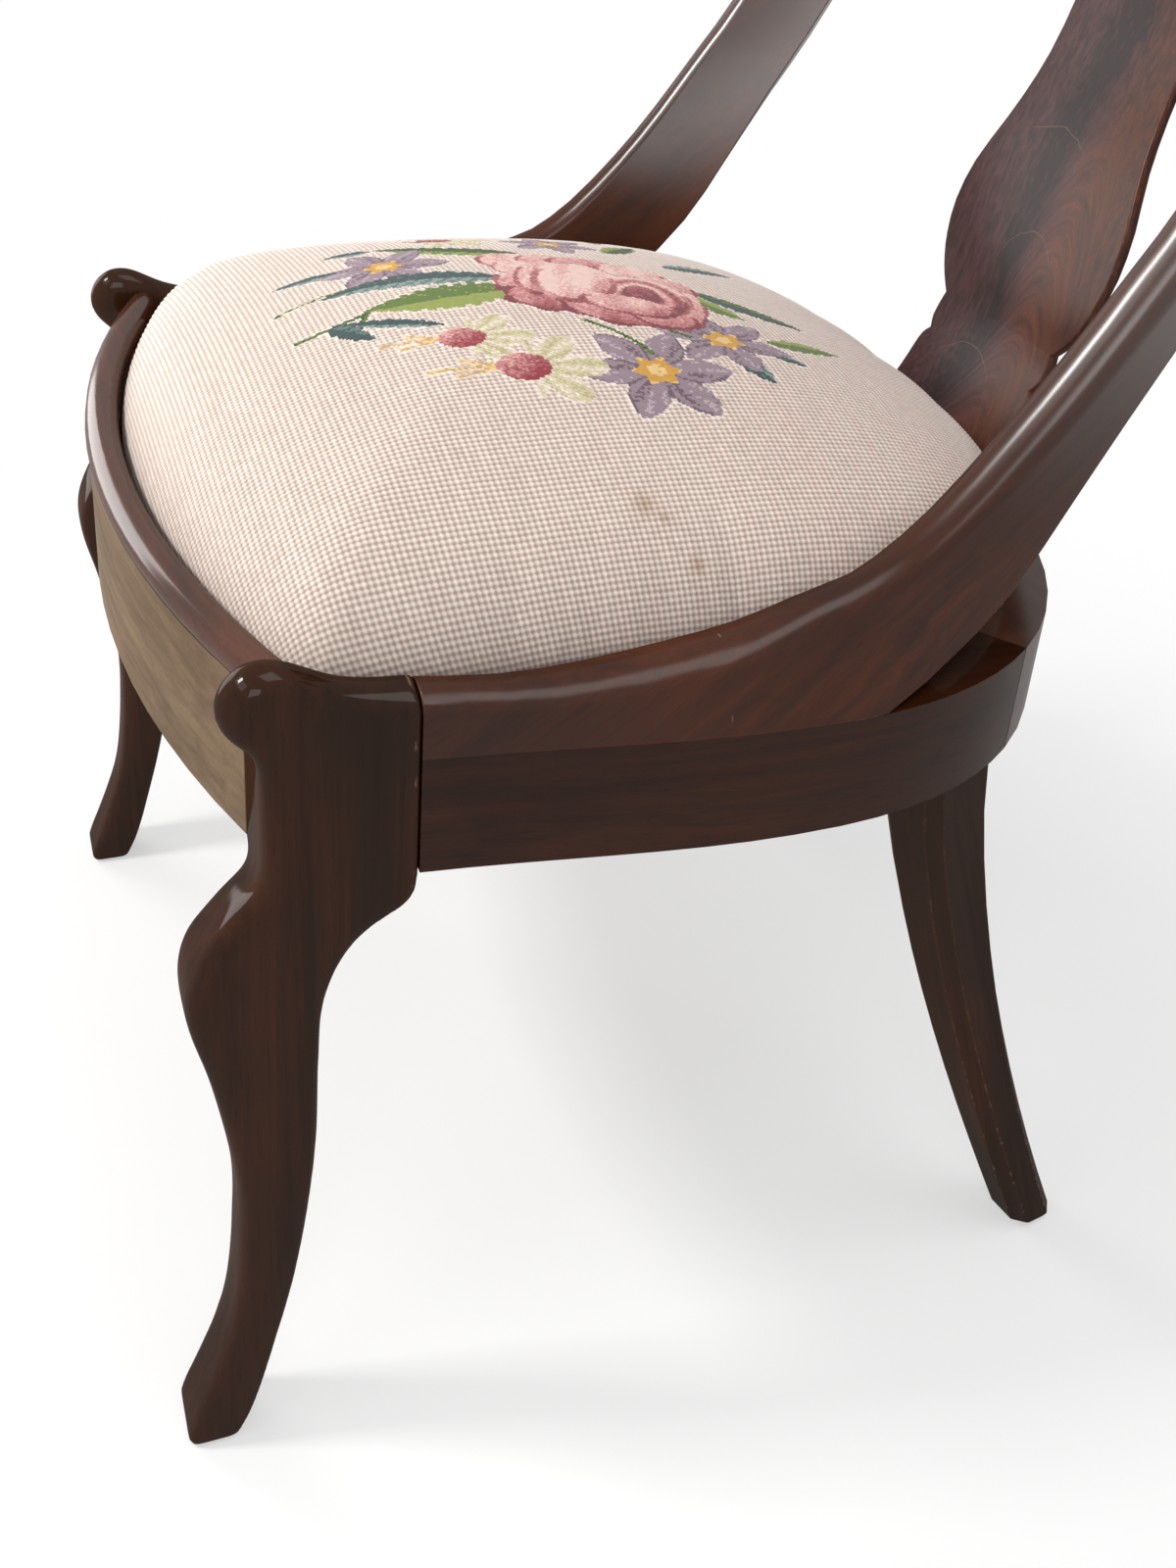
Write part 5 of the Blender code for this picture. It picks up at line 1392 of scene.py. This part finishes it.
@dataclass
class Webbing:
    """Jute webbing woven over and under across the slip frame, with hessian over it."""

    thickness: float = 0.0014
    hessian_thickness: float = 0.0008
    hessian_lift: float = 0.0005
    wave: float = 0.00042
    wave_length: float = 0.030
    steps: int = 60
    columns: int = 7
    rings: int = 8

    @staticmethod
    def woven(node: str, places: list, faces: list, thickness: float, finish: Material) -> Object:
        """Make a sheet from its middle surface and set it in place of its solid.

        Args:
            node: Name of the solid that it stands for.
            places: Places of its middle surface.
            faces: Corners of each face.
            thickness: Thickness of the sheet.
            finish: Its material.

        Returns:
            The finished sheet.
        """
        mesh = bpy.data.meshes.new(node + "_woven")
        mesh.from_pydata(places, [], faces)
        mesh.shade_smooth()
        mesh.materials.append(finish)
        piece = stand(node + "_woven", mesh)
        tune(piece.modifiers.new("thickness", "SOLIDIFY"), thickness=thickness, offset=0.0)
        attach(piece, SEAT_BODY)
        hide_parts(node)
        return piece

    def strip(self, node: str, crosswise: bool, number: int, crossings: list[float]) -> tuple[list, list]:
        """Middle surface of one strip, which passes over and under those that cross it.

        Args:
            node: Name of the solid that it stands for.
            crosswise: Whether it runs from side to side.
            number: Its place among its neighbours.
            crossings: Middles of the strips that cross it.

        Returns:
            Places, and the corners of each face.
        """
        low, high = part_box(node)
        run, wide = (0, 1) if crosswise else (1, 0)
        level = 0.5 * (low.z + high.z)
        places = []
        for i in range(self.steps + 1):
            along = low[run] + (high[run] - low[run]) * i / self.steps
            wave = sum((-1.0) ** (k + number + crosswise) * math.exp(-((along - c) / self.wave_length) ** 2)
                       for k, c in enumerate(crossings))
            for j in range(self.columns + 1):
                place = [0.0, 0.0, level + self.wave * wave]
                place[run], place[wide] = along, low[wide] + (high[wide] - low[wide]) * j / self.columns
                places.append(place)
        row = self.columns + 1
        return places, [(i * row + j, i * row + j + 1, (i + 1) * row + j + 1, (i + 1) * row + j)
                        for i in range(self.steps) for j in range(self.columns)]

    def hessian(self) -> tuple[list, list]:
        """Middle surface of the hessian over the webbing, in rings out to its edge.

        Returns:
            Places, and the corners of each face.
        """
        low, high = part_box("hessian")
        centre = Vector((0.0, 0.5 * (low.y + high.y), 0.0))
        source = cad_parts["hessian"].data.vertices
        top = [v.co.copy() for v in source if v.co.z > 0.5 * (low.z + high.z)]
        rim = {round(math.atan2(p.y - centre.y, p.x), 3): p for p in top}
        ring = [rim[key] for key in sorted(rim)]
        level, count = low.z + self.hessian_lift, len(ring)
        places = [(centre.x, centre.y, level)]
        for k in range(1, self.rings + 1):
            for p in ring:
                place = centre + (p - centre) * k / self.rings
                places.append((place.x, place.y, level))
        faces = [(0, 1 + i, 1 + (i + 1) % count) for i in range(count)]
        for k in range(self.rings - 1):
            a, b = 1 + k * count, 1 + (k + 1) * count
            faces += [(a + i, b + i, b + (i + 1) % count, a + (i + 1) % count) for i in range(count)]
        return places, faces

    def dress(self) -> list[Object]:
        """Returns:
            The finished pieces.
        """
        web = Jute("jute_webbing", (0.30, 0.205, 0.105), 0.0016).material()
        cloth = Jute("hessian_cloth", (0.36, 0.265, 0.150), 0.0013).material()
        lengthwise = [f"webbing_lengthwise_{n}" for n in (1, 2, 3)]
        crosswise = [f"webbing_crosswise_{n}" for n in (1, 2, 3)]
        made = []
        for names, across, others, ends in (
                (lengthwise, False, crosswise, ["slip_board_front", "slip_board_rear"]),
                (crosswise, True, lengthwise, ["slip_board_left", "slip_board_right"])):
            axis = 0 if across else 1
            crossings = [0.5 * (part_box(n)[0][axis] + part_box(n)[1][axis]) for n in others]
            for number, name in enumerate(names):
                piece = self.woven(name, *self.strip(name, across, number, crossings), self.thickness, web)
                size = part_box(name)[1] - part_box(name)[0]
                min(size.x, size.y)
                max(size.x, size.y)
                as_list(ends)
                made.append(piece)
        sheet = self.woven("hessian", *self.hessian(), self.hessian_thickness, cloth)
        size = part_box("hessian")[1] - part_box("hessian")[0]
        made.append(sheet)
        return made


@dataclass(frozen=True)
class Lamp:
    """Soft lamp: where it hangs, what it points at, its face, power and colour."""

    name: str
    place: Triple
    aim: Triple
    size: tuple[float, float]
    power: float
    colour: Triple = WHITE[:3]

    def hang(self) -> None:
        """Hang the lamp and point it."""
        data = bpy.data.lights.new(self.name, "AREA")
        tune(data, shape="RECTANGLE", size=self.size[0], size_y=self.size[1], energy=self.power,
             color=self.colour)
        turn = (Vector(self.aim) - Vector(self.place)).to_track_quat("-Z", "Y").to_euler()
        tune(stand(self.name, data), location=self.place, rotation_euler=turn)


@dataclass
class Studio:
    """Pale floor, soft light and the camera of the photograph."""

    azimuth: float = math.radians(68.0354)
    elevation: float = math.radians(28.1242)
    roll: float = math.radians(4.4208)
    lens: float = 38.518
    shift_y: float = -0.125
    place: Triple = (0.7282, -0.33265, 0.7031)
    ambient: float = 0.32
    floor_size: float = 12.0
    floor_z: float = -0.0005
    shadow_reach: tuple[float, float] = (0.30, 0.90)
    lamps: tuple[Lamp, ...] = (
        Lamp("window", (-1.75, -1.20, 0.60), (0.0, 0.0, 0.45), (1.2, 1.2), 30.0, (1.0, 0.99, 0.98)),
        Lamp("behind", (1.75, -0.70, 1.20), (-0.1, 0.0, 0.45), (0.7, 0.7), 6.5, (0.98, 0.99, 1.0)),
        Lamp("front", (0.10, -1.50, 1.70), (0.0, 0.0, 0.4), (1.8, 0.5), 7.0),
        Lamp("key", (-0.20, -1.45, 1.75), (0.0, 0.0, 0.4), (0.32, 0.32), 22.0, (1.0, 0.99, 0.97)),
        Lamp("top", (0.45, 0.25, 2.1), (0.0, 0.0, 0.4), (1.0, 1.0), 11.0))

    def camera(self) -> None:
        """Set the camera up at the photograph's viewpoint."""
        a, e, r = self.azimuth, self.elevation, self.roll
        back = Vector((math.sin(a) * math.cos(e), -math.cos(a) * math.cos(e), math.sin(e)))
        right = Vector((math.cos(a), math.sin(a), 0.0))
        up = back.cross(right)
        across = right * math.cos(r) + up * math.sin(r)
        above = up * math.cos(r) - right * math.sin(r)
        data = bpy.data.cameras.new("camera")
        tune(data, lens=self.lens, shift_y=self.shift_y, clip_start=0.01, clip_end=100.0)
        camera = stand("camera", data)
        turn = Matrix((across, above, back)).transposed().to_4x4()
        camera.matrix_world = Matrix.Translation(Vector(self.place)) @ turn
        bpy.context.scene.camera = camera

    @staticmethod
    def seen(graph: Graph) -> Signal:
        """Whether a ray comes straight from the camera, or by way of gloss or glass.

        Args:
            graph: Node tree to add to.

        Returns:
            1 for such a ray, otherwise 0.
        """
        path = graph.add("LightPath").outputs
        kinds = ("Camera", "Glossy", "Transmission")
        camera, gloss, glass = (Signal(graph, path[f"Is {kind} Ray"]) for kind in kinds)
        return camera.larger(gloss).larger(glass)

    def floor(self) -> None:
        """Lay a pale floor that keeps the shadow near the chair and runs out to white."""
        bm = bmesh.new()
        bmesh.ops.create_grid(bm, x_segments=8, y_segments=8, size=self.floor_size)
        mesh = bpy.data.meshes.new("floor")
        bm.to_mesh(mesh)
        bm.free()
        floor = stand("floor", mesh)
        floor.location.z = self.floor_z
        graph = Graph("pale_floor")
        away = graph.value("VectorMath", {0: graph.place}, "Value", operation="LENGTH")
        plain = graph.mix(graph.noise(3.0, 2.0), (0.94, 0.94, 0.94), (0.96, 0.96, 0.96))
        matt = graph.value("BsdfDiffuse", {"Color": plain})
        white = graph.value("Emission", {"Color": WHITE, "Strength": 1.0})
        share = (away.step(*self.shadow_reach) * 0.5 + 0.5) * self.seen(graph)
        mesh.materials.append(graph.finish("MixShader", {0: share, 1: matt, 2: white}))

    def light(self) -> None:
        """Light the chair softly from above, with a white surround."""
        for lamp in self.lamps:
            lamp.hang()
        graph = Graph("surround", "worlds")
        strength = graph.value("MapRange", {"Value": self.seen(graph), "To Min": self.ambient, "To Max": 1.0})
        scene = bpy.context.scene
        scene.world = graph.finish("Background", {"Color": WHITE, "Strength": strength}, "OutputWorld")
        scene.view_settings.view_transform = "Standard"

    def build(self) -> None:
        """Set up the camera, the floor and the light."""
        self.camera()
        self.floor()
        self.light()


def main() -> None:
    """Dress the chair piece by piece and report each one."""
    logging.basicConfig(level=logging.INFO, format="%(message)s")
    Studio().build()
    for part in (ShowWood(), InnerWork(), Webbing(), NeedleworkSeat()):
        for piece in part.dress():
            log.info("%s: %d faces", piece.name, len(piece.data.polygons))


if __name__ == "__main__":
    main()
